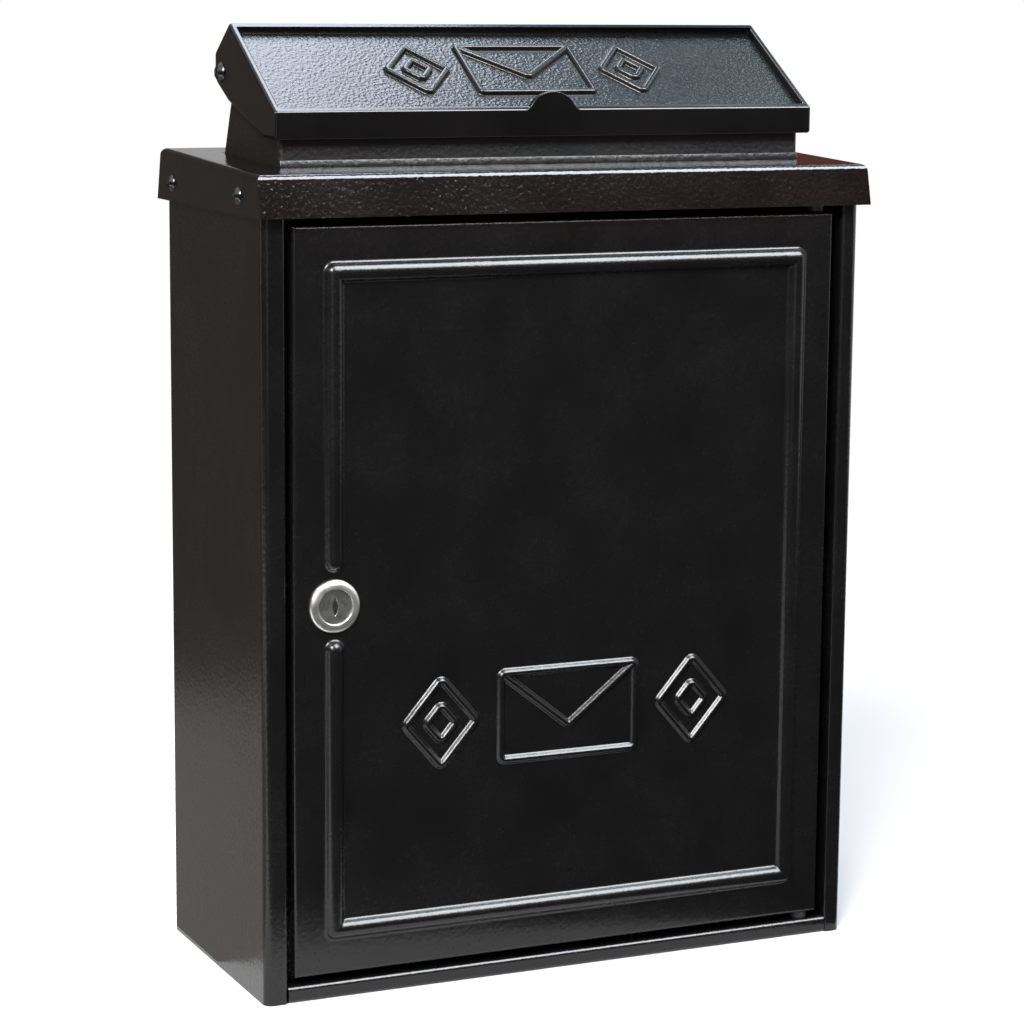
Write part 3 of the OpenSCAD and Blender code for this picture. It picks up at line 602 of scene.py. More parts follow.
def grow(piece, tree, values):
    """Runs a tree on a piece with its inputs set by name, and keeps the result as a plain mesh."""
    modifier = piece.modifiers.new(tree.name, "NODES")
    modifier.node_group = tree
    for item in tree.interface.items_tree:
        if item.item_type == "SOCKET" and item.in_out == "INPUT" and item.name in values:
            modifier[item.identifier] = values[item.name]
    settle(piece)


def ridge_tree(finish):
    """Sweeps a ridge with curved feet along the edges of a mesh that lies on a flat face."""
    tree, given = new_tree("raised_ridges", (
        ("Half width", "Float", 0.0026), ("Height", "Float", 0.0016), ("Corner radius", "Float", 0.003),
        ("Face normal", "Vector", (0, -1, 0)), ("Flatness", "Float", 1.0)))
    add, calc = partial(add_step, tree), partial(add_math, tree)
    section_points, bend_points = 25, 7
    curve = add("GeometryNodeMeshToCurve", {0: given["Geometry"]})
    bent = add("GeometryNodeFilletCurve", {
        "Curve": curve, "Count": bend_points, "Radius": given["Corner radius"], "Limit Radius": True},
        mode="POLY")
    aimed = add("GeometryNodeSetCurveNormal", {"Curve": bent, "Normal": given["Face normal"]}, mode="FREE")
    line = add("GeometryNodeMeshLine", {"Count": section_points, "Offset": (0, 0, 0)})
    index = add("GeometryNodeInputIndex")
    side = calc("SUBTRACT", calc("DIVIDE", index, (section_points - 1) / 2), 1.0)
    across = calc("MULTIPLY", side, given["Half width"])
    flat = calc("POWER", calc("ABSOLUTE", side), given["Flatness"])
    wave = calc("COSINE", calc("MULTIPLY", flat, math.pi))
    rise = calc("MULTIPLY", calc("MULTIPLY", calc("ADD", wave, 1.0), 0.5), given["Height"])
    at = add("ShaderNodeCombineXYZ", {0: rise, 1: across, 2: 0.0})
    section = add("GeometryNodeSetPosition", {"Geometry": line, "Position": at})
    profile = add("GeometryNodeMeshToCurve", {0: section})
    loop = add("GeometryNodeSetSplineCyclic", {0: profile, "Cyclic": True})
    swept = add("GeometryNodeCurveToMesh", {"Curve": aimed, "Profile Curve": loop, "Fill Caps": True})
    return end_tree(tree, swept, finish)


def screw_tree(finish):
    """Domed screws with a cross recess, one on each point of a mesh, facing out to either side."""
    tree, given = new_tree("domed_screws", (
        ("Head radius", "Float", 0.0035), ("Head height", "Float", 0.0022),
        ("Recess length", "Float", 0.0036), ("Recess width", "Float", 0.0009),
        ("Recess depth", "Float", 0.0009), ("Shank radius", "Float", 0.002), ("Shank length", "Float", 0.009)))
    add, calc = partial(add_step, tree), partial(add_math, tree)
    around, out, shank_sides = 48, 30, 32
    head_r, head_h = given["Head radius"], given["Head height"]
    grid = add("GeometryNodeMeshGrid", {
        "Size X": 1.0, "Size Y": 1.0, "Vertices X": around + 1, "Vertices Y": out + 1})
    split = add_node(tree, "ShaderNodeSeparateXYZ", {0: add("GeometryNodeInputPosition")})
    angle = calc("MULTIPLY", split.outputs[0], 2 * math.pi)
    radius = calc("MULTIPLY", calc("MAXIMUM", calc("ADD", split.outputs[1], 0.5), 0.0), head_r)
    x = calc("MULTIPLY", radius, calc("COSINE", angle))
    y = calc("MULTIPLY", radius, calc("SINE", angle))
    squares = calc("ADD", calc("MULTIPLY", head_r, head_r), calc("MULTIPLY", head_h, head_h))
    ball = calc("DIVIDE", squares, calc("MULTIPLY", head_h, 2.0))
    left = calc("SUBTRACT", calc("MULTIPLY", ball, ball), calc("MULTIPLY", radius, radius))
    cap = calc("SQRT", calc("MAXIMUM", left, 0.0))
    dome = calc("SUBTRACT", cap, calc("SUBTRACT", ball, head_h))
    narrow = calc("MINIMUM", calc("ABSOLUTE", x), calc("ABSOLUTE", y))
    arm = ramp(tree, narrow, calc("MULTIPLY", given["Recess width"], 0.35),
               calc("MULTIPLY", given["Recess width"], 0.65), 1.0, 0.0, interpolation_type="SMOOTHSTEP")
    end = ramp(tree, radius, calc("MULTIPLY", given["Recess length"], 0.25),
               calc("MULTIPLY", given["Recess length"], 0.5), 1.0, 0.0)
    sunk = calc("MULTIPLY", calc("MULTIPLY", arm, end), given["Recess depth"])
    at = add("ShaderNodeCombineXYZ", {0: x, 1: y, 2: calc("SUBTRACT", dome, sunk)})
    head = add("GeometryNodeSetPosition", {"Geometry": grid, "Position": at})
    closed = add("GeometryNodeMergeByDistance", {"Geometry": head, "Distance": MERGE_REACH})
    under = add("GeometryNodeMeshCircle", {"Vertices": around, "Radius": head_r}, fill_type="TRIANGLE_FAN")
    shell = join(tree, add("GeometryNodeFlipFaces", {0: closed}), add("GeometryNodeFlipFaces", {0: under}))
    sealed = add("GeometryNodeMergeByDistance", {"Geometry": shell, "Distance": MERGE_REACH})
    shank = add("GeometryNodeMeshCylinder", {
        "Vertices": shank_sides, "Radius": given["Shank radius"], "Depth": given["Shank length"]})
    drop = add("ShaderNodeCombineXYZ", {2: calc("MULTIPLY", given["Shank length"], -0.5)})
    hung = add("GeometryNodeTransform", {"Geometry": shank, "Translation": drop})
    here = add("ShaderNodeSeparateXYZ", {0: add("GeometryNodeInputPosition")})
    facing = add("ShaderNodeCombineXYZ", {0: calc("SIGN", here)})
    aim = add("FunctionNodeAlignRotationToVector", {"Vector": facing}, axis="Z")
    placed = add("GeometryNodeInstanceOnPoints", {
        "Points": given["Geometry"], "Instance": join(tree, sealed, hung), "Rotation": aim})
    return end_tree(tree, placed, finish)


# Letter signs

def sign_paths(sign):
    """The generic letter sign: an envelope between two lozenges, as runs of flat points."""
    half_w = sign.envelope_width / 2
    half_h = sign.height / 2
    nip = 0.29 * sign.corner
    paths = [([(-half_w, -half_h), (half_w, -half_h), (half_w, half_h), (-half_w, half_h)], True),
             ([(nip - half_w, half_h - nip), (0, -0.16 * sign.height), (half_w - nip, half_h - nip)], False)]
    for side in (-1, 1):
        middle = side * sign.lozenge_reach
        for share in (1.0, 0.42):
            w = share * sign.lozenge_width / 2
            h = share * half_h
            paths.append(([(middle - w, 0), (middle, -h), (middle + w, 0), (middle, h)], True))
    return paths


def raised_sign(name, sign, origin, up, normal, finish):
    """The sign as raised ridges on a flat face whose upward direction and normal are given."""
    origin, up, normal = Vector(origin), Vector(up), Vector(normal)
    across = up.cross(normal)
    points, edges = [], []
    for run, closed in sign_paths(sign):
        first = len(points)
        points += [origin + across * u + up * v for u, v in run]
        edges += [(first + i, first + i + 1) for i in range(len(run) - 1)]
        if closed:
            edges.append((first + len(run) - 1, first))
    piece = new_piece(name, new_mesh(name, points, edges), finish)
    grow(piece, ridge_tree(finish_of(finish)), {
        "Half width": sign.ridge_width / 2, "Height": sign.ridge_height, "Corner radius": sign.corner,
        "Face normal": tuple(normal), "Flatness": sign.flatness})
    point_outwards(piece.data)
    shade(piece.data, 60)
    return piece


# Settings

class CoatSettings(bpy.types.PropertyGroup):
    colour: FloatVectorProperty(
        name="Colour", description="Colour of the black coat", subtype="COLOR",
        default=(0.0032, 0.0031, 0.0031), min=0, max=1)
    roughness: FloatProperty(
        name="Roughness", description="Roughness of the coat", subtype="FACTOR", default=0.25, min=0, max=1)
    specular: FloatProperty(
        name="Specular", description="Strength of the coat's reflection", subtype="FACTOR", default=0.45,
        min=0, max=1)
    grain: FloatProperty(
        name="Grain", description="Width of the coat's pebbles", unit="LENGTH", default=0.0013, min=0.0002,
        max=0.01)
    height: FloatProperty(
        name="Grain height", description="Height of the coat's pebbles", unit="LENGTH", default=0.00008,
        min=0, max=0.002)
    lid_grain: FloatProperty(
        name="Lid grain", description="Width of the pebbles on the lid", unit="LENGTH", default=0.00095,
        min=0.0002, max=0.01)
    lid_height: FloatProperty(
        name="Lid grain height", description="Height of the pebbles on the lid", unit="LENGTH",
        default=0.00018, min=0, max=0.005)


class DoorSettings(bpy.types.PropertyGroup):
    fold_radius: FloatProperty(
        name="Fold radius", description="Outer radius of the door's folds", unit="LENGTH", default=0.0018,
        min=0.0005, max=0.005)
    margin_x: FloatProperty(
        name="Side margin", description="Distance from the door's sides to the moulding", unit="LENGTH",
        default=0.0125, min=0.005, max=0.05)
    margin_z: FloatProperty(
        name="Top margin", description="Distance from the door's top to the moulding", unit="LENGTH",
        default=0.014, min=0.005, max=0.05)
    bead_width: FloatProperty(
        name="Moulding width", description="Width of the pressed moulding", unit="LENGTH", default=0.010,
        min=0.004, max=0.02)
    bead_height: FloatProperty(
        name="Moulding height", description="Height of the pressed moulding", unit="LENGTH",
        default=FACE_Y - DOOR_LOW.y, min=0.0005, max=0.006)
    bead_foot: FloatProperty(
        name="Moulding foot", description="Radius of the curve at the moulding's foot", unit="LENGTH",
        default=0.0016, min=0.0002, max=0.004)
    bead_corner: FloatProperty(
        name="Moulding corner", description="Radius of the moulding's outer corners", unit="LENGTH",
        default=0.005, min=0.001, max=0.02)
    pad_radius: FloatProperty(
        name="Pad radius", description="Radius of the flat pad round the lock", unit="LENGTH",
        default=0.0132, min=0.01, max=0.03)
    hole_radius: FloatProperty(
        name="Hole radius", description="Radius of the hole for the lock", unit="LENGTH", default=0.0091,
        min=0.005, max=0.0105)
    hole_flat: FloatProperty(
        name="Hole flat", description="Distance from the hole's middle to its flats", unit="LENGTH",
        default=0.008, min=0.004, max=0.0105)
    sign_middle: FloatProperty(
        name="Sign middle", description="Height of the sign's middle above the base", unit="LENGTH",
        default=0.112, min=0.05, max=0.3)
    sheet: FloatProperty(
        name="Sheet", description="Thickness of the door's sheet", unit="LENGTH", default=0.0012,
        min=0.0005, max=0.003)
    fine_pitch: FloatProperty(
        name="Fine pitch", description="Grid step across the moulding", unit="LENGTH", default=0.00045,
        min=0.0002, max=0.002)
    coarse_pitch: FloatProperty(
        name="Coarse pitch", description="Grid step on the flat face", unit="LENGTH", default=0.012,
        min=0.002, max=0.05)


class LidSettings(bpy.types.PropertyGroup):
    slope: FloatProperty(
        name="Slope", description="Slope of the lid's panel", unit="ROTATION", default=math.radians(32.2),
        min=0.3, max=0.8)
    rim_height: FloatProperty(
        name="Rim height", description="Height of the rim's front edge above the base", unit="LENGTH",
        default=0.36139, min=0.2, max=0.6)
    edge: FloatProperty(
        name="Edge", description="Easing of the lid's roundest corners", unit="LENGTH", default=0.002,
        min=0.0002, max=0.002)
    rim_width: FloatProperty(
        name="Rim width", description="Width of the rim round the panel", unit="LENGTH", default=0.0028,
        min=0.001, max=0.01)
    recess: FloatProperty(
        name="Recess", description="Depth of the panel below the rim", unit="LENGTH", default=0.0027,
        min=0.001, max=0.005)
    sign_middle: FloatProperty(
        name="Sign middle", description="Distance up the slope to the sign's middle", unit="LENGTH",
        default=0.0325, min=0.01, max=0.05)


class ChuteSettings(bpy.types.PropertyGroup):
    width: FloatProperty(
        name="Width", description="Width of the chute's foot", unit="LENGTH", default=0.2364, min=0.1,
        max=0.3)
    front: FloatProperty(
        name="Front", description="Place of the chute's front wall", unit="LENGTH", default=-0.0336,
        min=-0.06, max=0)
    foot_level: FloatProperty(
        name="Foot level", description="Height of the roof at the chute's front", unit="LENGTH",
        default=0.3389, min=0.1, max=0.5)
    foot_height: FloatProperty(
        name="Foot height", description="Height of the chute's slanted foot", unit="LENGTH", default=0.0031,
        min=0.001, max=0.01)
    foot_slope: FloatProperty(
        name="Foot slope", description="Slope of the chute's foot", unit="ROTATION",
        default=math.radians(74), min=0.3, max=1.4)
    foot_ledge: FloatProperty(
        name="Foot ledge", description="How far the foot's top stands out from the wall", unit="LENGTH",
        default=0.0004, min=0, max=0.003)


class SignSettings(bpy.types.PropertyGroup):
    envelope_width: FloatProperty(
        name="Envelope width", description="Width of the envelope", unit="LENGTH", default=0.062, min=0.02,
        max=0.12)
    height: FloatProperty(
        name="Height", description="Height of the envelope and the lozenges", unit="LENGTH", default=0.037,
        min=0.01, max=0.08)
    lozenge_reach: FloatProperty(
        name="Lozenge distance", description="Distance from the middle to the lozenges", unit="LENGTH",
        default=0.058, min=0.02, max=0.1)
    lozenge_width: FloatProperty(
        name="Lozenge width", description="Width of the lozenges", unit="LENGTH", default=0.032, min=0.005,
        max=0.05)
    ridge_width: FloatProperty(
        name="Ridge width", description="Width of the raised ridges", unit="LENGTH", default=0.0046,
        min=0.001, max=0.01)
    ridge_height: FloatProperty(
        name="Ridge height", description="Height of the raised ridges", unit="LENGTH", default=0.0016,
        min=0.0002, max=0.003)
    corner: FloatProperty(
        name="Corner radius", description="Radius of the bends of the ridges", unit="LENGTH", default=0.002,
        min=0.0005, max=0.01)
    flatness: FloatProperty(
        name="Flatness", description="1 for a round ridge and more for a flat-topped one", default=1.2,
        min=0.5, max=6)


class LidSignSettings(SignSettings):
    envelope_width: FloatProperty(
        name="Envelope width", description="Width of the envelope", unit="LENGTH", default=0.052, min=0.02,
        max=0.12)
    height: FloatProperty(
        name="Height", description="Height of the envelope and the lozenges", unit="LENGTH", default=0.033,
        min=0.01, max=0.08)
    lozenge_reach: FloatProperty(
        name="Lozenge distance", description="Distance from the middle to the lozenges", unit="LENGTH",
        default=0.049, min=0.02, max=0.1)
    lozenge_width: FloatProperty(
        name="Lozenge width", description="Width of the lozenges", unit="LENGTH", default=0.027, min=0.005,
        max=0.05)
    ridge_width: FloatProperty(
        name="Ridge width", description="Width of the raised ridges", unit="LENGTH", default=0.0038,
        min=0.001, max=0.01)
    ridge_height: FloatProperty(
        name="Ridge height", description="Height of the raised ridges", unit="LENGTH", default=0.0019,
        min=0.0002, max=0.003)
    corner: FloatProperty(
        name="Corner radius", description="Radius of the bends of the ridges", unit="LENGTH",
        default=0.0015, min=0.0005, max=0.01)
    flatness: FloatProperty(
        name="Flatness", description="1 for a round ridge and more for a flat-topped one", default=2.2,
        min=0.5, max=6)


class ScrewSettings(bpy.types.PropertyGroup):
    recess_depth: FloatProperty(
        name="Recess depth", description="Depth of the cross recess", unit="LENGTH", default=0.0008,
        min=0.0002, max=0.002)
    recess_width: FloatProperty(
        name="Recess width", description="Width of the cross recess", unit="LENGTH", default=0.0009,
        min=0.0003, max=0.002)
    roof_shank: FloatProperty(
        name="Roof shank", description="Radius of the roof screws' shanks", unit="LENGTH", default=0.002,
        min=0.001, max=0.003)
    pivot_shank: FloatProperty(
        name="Pivot shank", description="Radius of the lid screws' shanks", unit="LENGTH", default=0.0025,
        min=0.001, max=0.003)
    roof_tip: FloatProperty(
        name="Roof screw tip", description="Distance of the roof screws' tips from the middle",
        unit="LENGTH", default=0.126, min=0.1, max=0.135)


class StudioSettings(bpy.types.PropertyGroup):
    floor_colour: FloatVectorProperty(
        name="Floor colour", description="Colour of the floor", subtype="COLOR", default=(0.9, 0.9, 0.9),
        min=0, max=1)
    world_level: FloatProperty(
        name="World level", description="Light from all round", default=0.55, min=0, max=2)
    key_power: FloatProperty(
        name="Key power", description="Power of the soft lamp at the front left", unit="POWER", default=75,
        min=0, max=500)
    top_power: FloatProperty(
        name="Top power", description="Power of the soft lamp above and behind", unit="POWER", default=16,
        min=0, max=500)
    spark_power: FloatProperty(
        name="Spark power", description="Power of the strip that the lid's pebbles catch", unit="POWER",
        default=3, min=0, max=500)
    glow_power: FloatProperty(
        name="Glow power", description="Power of the tall lamp that the gloss mirrors", unit="POWER",
        default=110, min=0, max=500)
    dark_card: FloatVectorProperty(
        name="Dark card", description="Tone of the cards that the front mirrors", subtype="COLOR",
        default=(0.07, 0.07, 0.07), min=0, max=1)
    warm_card: FloatVectorProperty(
        name="Warm card", description="Tone of the warm card over the front one", subtype="COLOR",
        default=(0.26, 0.12, 0.12), min=0, max=1)
    side_card: FloatVectorProperty(
        name="Side card", description="Tone of the card that the left side mirrors", subtype="COLOR",
        default=(0.125, 0.105, 0.09), min=0, max=1)
    middle_card: FloatVectorProperty(
        name="Middle card", description="Tone of the floor that the left side mirrors", subtype="COLOR",
        default=(0.5, 0.46, 0.45), min=0, max=1)
    brown_card: FloatVectorProperty(
        name="Brown card", description="Tone that the roof's right end mirrors", subtype="COLOR",
        default=(0.14, 0.05, 0.035), min=0, max=1)
    pale_card: FloatVectorProperty(
        name="Pale card", description="Tone that the roof's left end mirrors", subtype="COLOR",
        default=(0.58, 0.58, 0.58), min=0, max=1)
    sky_card: FloatVectorProperty(
        name="Sky card", description="Tone of the cool card over the box", subtype="COLOR",
        default=(0.12, 0.36, 0.5), min=0, max=1)


# Stage

def add_lamp(name, place, target, size, power, colour, gloss_only):
    """A soft rectangular lamp that the camera doesn't see."""
    light = bpy.data.lights.new(name, "AREA")
    light.shape = "RECTANGLE"
    light.size = size[0]
    light.size_y = size[1]
    light.energy = power
    light.color = colour
    lamp = add_object(name, light)
    aim = (Vector(target) - Vector(place)).to_track_quat("-Z", "Y").to_matrix().to_4x4()
    lamp.matrix_world = Matrix.Translation(place) @ aim
    lamp.visible_camera = False
    lamp.visible_diffuse = not gloss_only


def seen_directly(tree):
    """A socket that is 1 for camera, glossy and transmission rays and 0 for the rest."""
    path = add_node(tree, "ShaderNodeLightPath")
    total = path.outputs["Is Camera Ray"]
    for name in ("Is Glossy Ray", "Is Transmission Ray"):
        total = add_step(tree, "ShaderNodeMath", {0: total, 1: path.outputs[name]}, operation="ADD",
                         use_clamp=True)
    return total


def make_world(level):
    """White where it is seen or mirrored, and a plain level where it only lights."""
    world = bpy.data.worlds.new("studio")
    world.use_nodes = True
    tree = world.node_tree
    tree.nodes.clear()
    background = add_step(tree, "ShaderNodeBackground", {
        "Color": (1, 1, 1, 1), "Strength": ramp(tree, seen_directly(tree), 0.0, 1.0, level, 1.0)})
    add_node(tree, "ShaderNodeOutputWorld", {"Surface": background})
    bpy.context.scene.world = world


def make_floor(studio):
    """A pale floor that takes the shadow near the box and is plain white farther out."""
    corners = [(x * FLOOR_REACH, y * FLOOR_REACH, 0) for x, y in ((-1, -1), (1, -1), (1, 1), (-1, 1))]
    material, tree = new_material("floor")
    plain = add_step(tree, "ShaderNodeBsdfPrincipled", {
        "Base Color": (*studio.floor_colour, 1), "Roughness": 0.9, "Specular IOR Level": 0.0})
    away = add_node(tree, "ShaderNodeVectorMath", {0: own_place(tree)}, operation="LENGTH").outputs["Value"]
    far = ramp(tree, away, *FLOOR_RING, interpolation_type="SMOOTHSTEP")
    glow = add_step(tree, "ShaderNodeEmission", {
        "Color": (1, 1, 1, 1), "Strength": ramp(tree, seen_directly(tree), 0.0, 1.0, FLOOR_LEVEL, 1.0)})
    end_material(material, "ShaderNodeMixShader", {"Fac": far, 1: plain, 2: glow})
    floor = add_object("floor", new_mesh("floor", corners, faces=[(0, 1, 2, 3)]))
    floor.data.materials.append(material)


def make_card(name, profile, turn, half_width, tone):
    """A studio card that only reflections see: a profile of distances and heights, turned about Z."""
    across = Vector((math.cos(turn), math.sin(turn), 0))
    ahead = Vector((math.sin(turn), -math.cos(turn), 0))
    points = [ahead * distance + across * side * half_width + Vector((0, 0, height))
              for distance, height in profile for side in (-1, 1)]
    faces = [(2 * i, 2 * i + 1, 2 * i + 3, 2 * i + 2) for i in range(len(profile) - 1)]
    material = new_material(name)[0]
    end_material(material, "ShaderNodeEmission", {"Color": (*tone, 1), "Strength": 1.0})
    card = add_object(name, new_mesh(name, points, faces=faces))
    card.data.materials.append(material)
    card.visible_camera = False
    card.visible_diffuse = False
    card.visible_shadow = False
    card.visible_transmission = False


def make_camera():
    """The scene's camera, at the photograph's viewing angle."""
    data = bpy.data.cameras.new("camera")
    data.sensor_width = CAMERA_SENSOR
    data.lens = CAMERA_LENS
    data.clip_end = CAMERA_REACH
    camera = add_object("camera", data)
    yaw, pitch, roll = (math.radians(angle) for angle in CAMERA_TURN)
    ahead = Vector((-math.sin(yaw) * math.cos(pitch), math.cos(yaw) * math.cos(pitch), math.sin(pitch)))
    level = Vector((math.cos(yaw), math.sin(yaw), 0))
    upright = level.cross(ahead)
    right = level * math.cos(roll) + upright * math.sin(roll)
    up = upright * math.cos(roll) - level * math.sin(roll)
    turn = Matrix((right, up, -ahead)).transposed().to_4x4()
    camera.matrix_world = Matrix.Translation(CAMERA_PLACE) @ turn
    bpy.context.scene.camera = camera


class MakeStage(bpy.types.Operator):
    """Adds the camera, the floor, the lamps and the cards"""

    bl_idname = "letter_box.make_stage"
    bl_label = "Stage"

    def execute(self, context):
        studio = context.scene.letter_box_studio
        context.scene.view_settings.view_transform = "Standard"
        make_camera()
        make_world(studio.world_level)
        make_floor(studio)
        for name, place, target, size, power, colour, gloss_only in LAMPS:
            add_lamp(name, place, target, size, getattr(studio, power), colour, gloss_only)
        for name, profile, turn, half_width, tone in CARDS:
            make_card(name, profile, math.radians(turn), half_width, getattr(studio, tone))
        return {"FINISHED"}


# Pieces

class MakeCabinet(bpy.types.Operator):
    """Makes the folded shell, the floor tray and the head rail"""

    bl_idname = "letter_box.make_cabinet"
    bl_label = "Cabinet"

    def execute(self, context):
        for node in ("cabinet_shell", "floor_tray", "head_rail"):
            dressed(node, "fine_coat", "powder_coat", SHEET_EASE)
        return {"FINISHED"}


class MakeRoof(bpy.types.Operator):
    """Makes the roof tray and the letter chute with its foot"""

    bl_idname = "letter_box.make_roof"
    bl_label = "Roof and chute"

    def execute(self, context):
        dressed("roof_tray", "roof_coat", "powder_coat", ROOF_EASE)
        dressed("letter_chute", "chute_coat", "powder_coat", ROOF_EASE)
        self.add_foot(context.scene.letter_box_chute)
        return {"FINISHED"}

    def add_foot(self, chute):
        """The slanted foot along the chute's front, sunk a little into the wall and the roof."""
        sunk, step = 0.0004, 0.0003
        base, top = chute.foot_level, chute.foot_level + chute.foot_height
        ledge = chute.front - chute.foot_ledge
        toe = ledge - chute.foot_height / math.tan(chute.foot_slope)
        profile = [(chute.front + sunk, base - sunk), (toe, base - sunk), (toe, base + step), (ledge, top),
                   (chute.front + sunk, top)]
        count = len(profile)
        points = [(side * chute.width / 2, y, z) for side in (-1, 1) for y, z in profile]
        sides = [(i, (i + 1) % count, (i + 1) % count + count, i + count) for i in range(count)]
        ends = [tuple(range(count)), tuple(range(count, 2 * count))]
        mesh = new_mesh("chute_foot", points, faces=sides + ends)
        point_outwards(mesh)
        piece = new_piece("chute_foot", mesh, "fine_coat")
        ease = piece.modifiers.new("ease", "BEVEL")
        ease.width = ROOF_EASE
        ease.segments = 3
        shade(piece.data, SHARP_TURN)
        settle(piece)
        seat(piece, body_of("letter_chute"), "powder_coat")


class MakeLid(bpy.types.Operator):
    """Makes the cast lid"""

    bl_idname = "letter_box.make_lid"
    bl_label = "Lid"

    def edge_share(self, at):
        """The skirt's lower corners are the roundest, and the rear wall's inner foot stays sharp."""
        near, rear_wall, tab_half = 0.0005, 0.02, 0.016
        side = abs(at.x) > LID_HIGH.x - near
        outer = side or at.y < LID_LOW.y + near
        if side and at.z < LID_LOW.z + near:
            return 1.0
        if at.y > rear_wall and not outer:
            return 0.0
        if abs(at.x) < tab_half:
            return 0.13
        return 0.65 if outer else 0.26

    def execute(self, context):
        lid = context.scene.letter_box_lid
        dressed("lid", "cast_coat", "lid_coat", lid.edge, 5, share=self.edge_share, clamp=False)
        return {"FINISHED"}


class MakeLidSign(bpy.types.Operator):
    """Casts the generic letter sign on the lid's panel"""

    bl_idname = "letter_box.make_lid_sign"
    bl_label = "Lid sign"

    def execute(self, context):
        lid = context.scene.letter_box_lid
        sunk = 0.00005
        up, normal = lid_directions(lid)
        rim = Vector((0, LID_LOW.y, lid.rim_height))
        origin = rim + up * lid.sign_middle - normal * (lid.recess + sunk)
        piece = raised_sign("lid_sign", context.scene.letter_box_lid_sign, origin, up, normal, "sign_coat")
        seat(piece, "lid", "lid_coat")
        return {"FINISHED"}


class MakeDoor(bpy.types.Operator):
    """Makes the pressed door and its stiffener"""

    bl_idname = "letter_box.make_door"
    bl_label = "Door"

    def execute(self, context):
        door = context.scene.letter_box_door
        piece = new_piece("door_panel_piece", pressed_door(door), "door_coat")
        wall = piece.modifiers.new("wall", "SOLIDIFY")
        wall.thickness = door.sheet
        wall.offset = -1
        wall.use_even_offset = True
        shade(piece.data, 40)
        settle(piece)
        seat(piece, body_of("door_panel"), "powder_coat", "door_panel")
        dressed("door_stiffener", "fine_coat", "powder_coat", SMALL_EASE)
        return {"FINISHED"}


class MakeDoorSign(bpy.types.Operator):
    """Presses the generic letter sign out of the door's face"""

    bl_idname = "letter_box.make_door_sign"
    bl_label = "Door sign"

    def execute(self, context):
        sunk = 0.00003
        origin = (0, FACE_Y + sunk, context.scene.letter_box_door.sign_middle)
        up, normal = (0, 0, 1), (0, -1, 0)
        piece = raised_sign("door_sign", context.scene.letter_box_door_sign, origin, up, normal, "door_coat")
        seat(piece, body_of("door_panel"), "powder_coat")
        return {"FINISHED"}


class MakeScrews(bpy.types.Operator):
    """Makes the roof's four screws and the lid's two pivot screws"""

    bl_idname = "letter_box.make_screws"
    bl_label = "Screws"

    def execute(self, context):
        screws = context.scene.letter_box_screws
        tree = screw_tree(finish_of("black_screw"))
        low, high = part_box("roof_screws")
        head_r = (high.z - low.z) / 2
        level = (low.z + high.z) / 2
        spots = [(side * ROOF_SIDE, y, level) for side in (-1, 1) for y in (low.y + head_r, high.y - head_r)]
        self.add_screws("roof_screws", tree, spots, head_r, high.x - ROOF_SIDE, screws.roof_shank,
                        ROOF_SIDE - screws.roof_tip)
        lift = 0.0001
        low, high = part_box("lid_pivot_screw_right")
        head_r = (high.z - low.z) / 2
        spot = Vector((LID_HIGH.x + lift, (low.y + high.y) / 2, (low.z + high.z) / 2))
        for side, node in ((-1, "lid_pivot_screw_left"), (1, "lid_pivot_screw_right")):
            place = (side * spot.x, spot.y, spot.z)
            self.add_screws(node, tree, [place], head_r, high.x - spot.x, screws.pivot_shank, spot.x - low.x)
        return {"FINISHED"}

    def add_screws(self, node, tree, spots, head_r, head_h, shank_r, shank_l):
        """One group of like screws that stands for a node."""
        screws = bpy.context.scene.letter_box_screws
        piece = new_piece(node + "_piece", new_mesh(node, spots), "black_screw")
        grow(piece, tree, {
            "Head radius": head_r, "Head height": head_h, "Recess length": 1.1 * head_r,
            "Recess width": screws.recess_width, "Recess depth": screws.recess_depth,
            "Shank radius": shank_r, "Shank length": shank_l})
        shade(piece.data, 50)
        seat(piece, body_of(node), "black_screw", node)


class MakeLock(bpy.types.Operator):
    """Makes the lock's body, plug and cam"""

    bl_idname = "letter_box.make_lock"
    bl_label = "Lock"

    def bezel_share(self, at):
        """The bezel's outer rim is round, and the lock body's other edges are only eased."""
        near_rim, above_face = 0.0005, 0.001
        rim = (BEZEL_HIGH.z - BEZEL_LOW.z) / 2 - near_rim
        from_middle = math.hypot(at.x - LOCK_AT.x, at.z - LOCK_AT.z)
        return 1.0 if at.y < FACE_Y - above_face and from_middle > rim else 0.12

    def execute(self, context):
        dressed("lock_body", "nickel", "nickel", BEZEL_EASE, 6, share=self.bezel_share)
        dressed("lock_plug", "plug_nickel", "nickel", SMALL_EASE)
        dressed("lock_cam", "zinc", "zinc", ROOF_EASE)
        return {"FINISHED"}


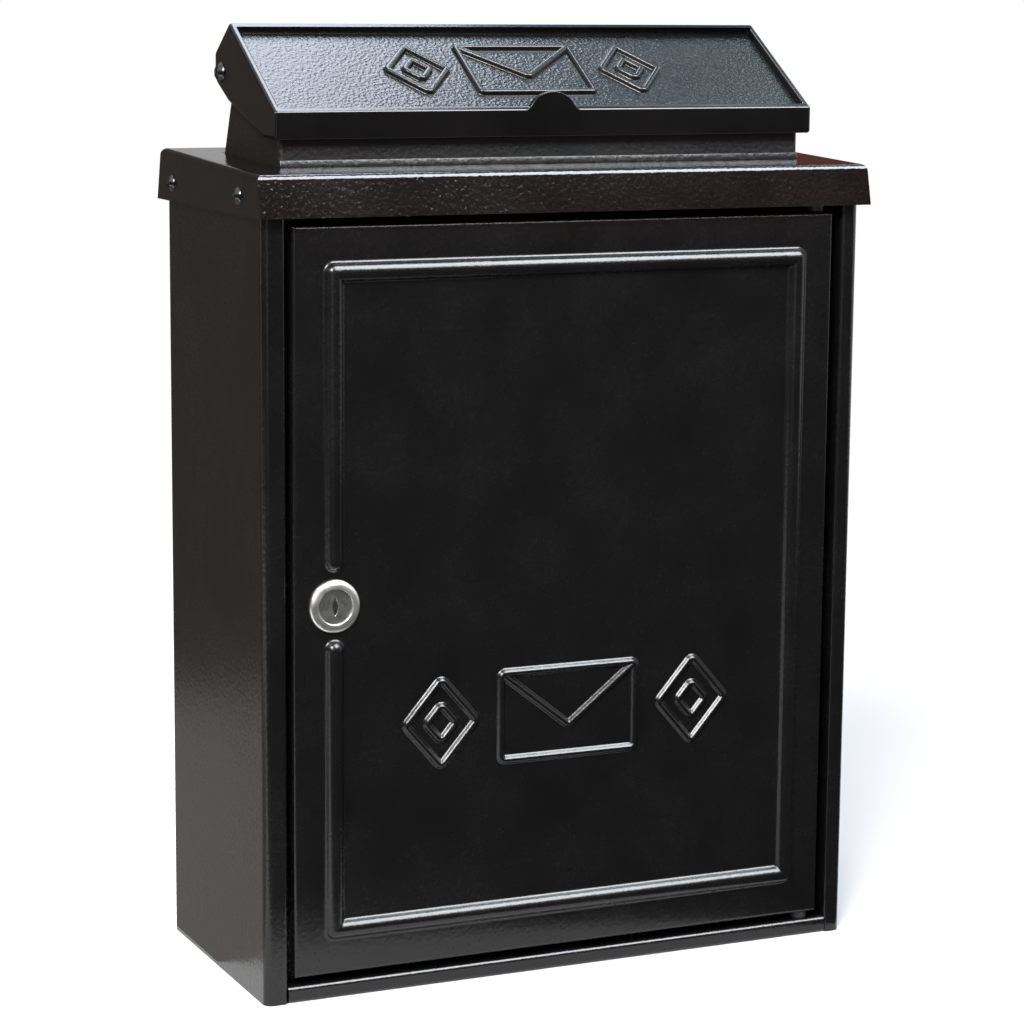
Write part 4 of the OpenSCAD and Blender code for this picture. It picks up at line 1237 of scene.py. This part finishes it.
class MakeHardware(bpy.types.Operator):
    """Makes the nuts, washers, pins and spacers"""

    bl_idname = "letter_box.make_hardware"
    bl_label = "Hardware"

    def execute(self, context):
        for node in ("lid_pivot_nuts", "roof_rivet_nuts", "hinge_pin_top", "hinge_pin_bottom", "lock_washer",
                     "lock_nut", "cam_washer", "cam_screw"):
            dressed(node, "zinc", "zinc", SMALL_EASE)
        for node in ("lid_pivot_washers", "hinge_spacers"):
            dressed(node, "black_nylon", "nylon", NYLON_EASE)
        return {"FINISHED"}


class LetterBoxPanel(bpy.types.Panel):
    """Lists the letter box's settings and pieces"""

    bl_idname = "VIEW3D_PT_letter_box"
    bl_label = "Letter Box"
    bl_space_type = "VIEW_3D"
    bl_region_type = "UI"
    bl_category = "Letter Box"

    def draw(self, context):
        layout = self.layout
        for settings in (getattr(context.scene, name) for name in SETTINGS):
            column = layout.column(align=True)
            for name in settings.bl_rna.properties.keys():
                if name not in ("rna_type", "name"):
                    column.prop(settings, name)
        for operator in STEPS:
            layout.operator(operator.bl_idname)


SETTINGS = {"letter_box_coat": CoatSettings, "letter_box_door": DoorSettings, "letter_box_lid": LidSettings,
            "letter_box_chute": ChuteSettings, "letter_box_door_sign": SignSettings,
            "letter_box_lid_sign": LidSignSettings, "letter_box_screws": ScrewSettings,
            "letter_box_studio": StudioSettings}
STEPS = (MakeStage, MakeCabinet, MakeRoof, MakeLid, MakeLidSign, MakeDoor, MakeDoorSign, MakeScrews, MakeLock,
         MakeHardware)


def register():
    """Adds the classes and the scene's settings."""
    for group in (*SETTINGS.values(), *STEPS, LetterBoxPanel):
        bpy.utils.register_class(group)
    for name, group in SETTINGS.items():
        setattr(bpy.types.Scene, name, PointerProperty(type=group))


def unregister():
    """Takes the classes and the scene's settings away."""
    for name in SETTINGS:
        delattr(bpy.types.Scene, name)
    for group in reversed((*SETTINGS.values(), *STEPS, LetterBoxPanel)):
        bpy.utils.unregister_class(group)


def main():
    """Makes the stage and every piece."""
    register()
    for operator in STEPS:
        name = operator.bl_idname.split(".")[1]
        getattr(bpy.ops.letter_box, name)()


if __name__ == "__main__":
    main()
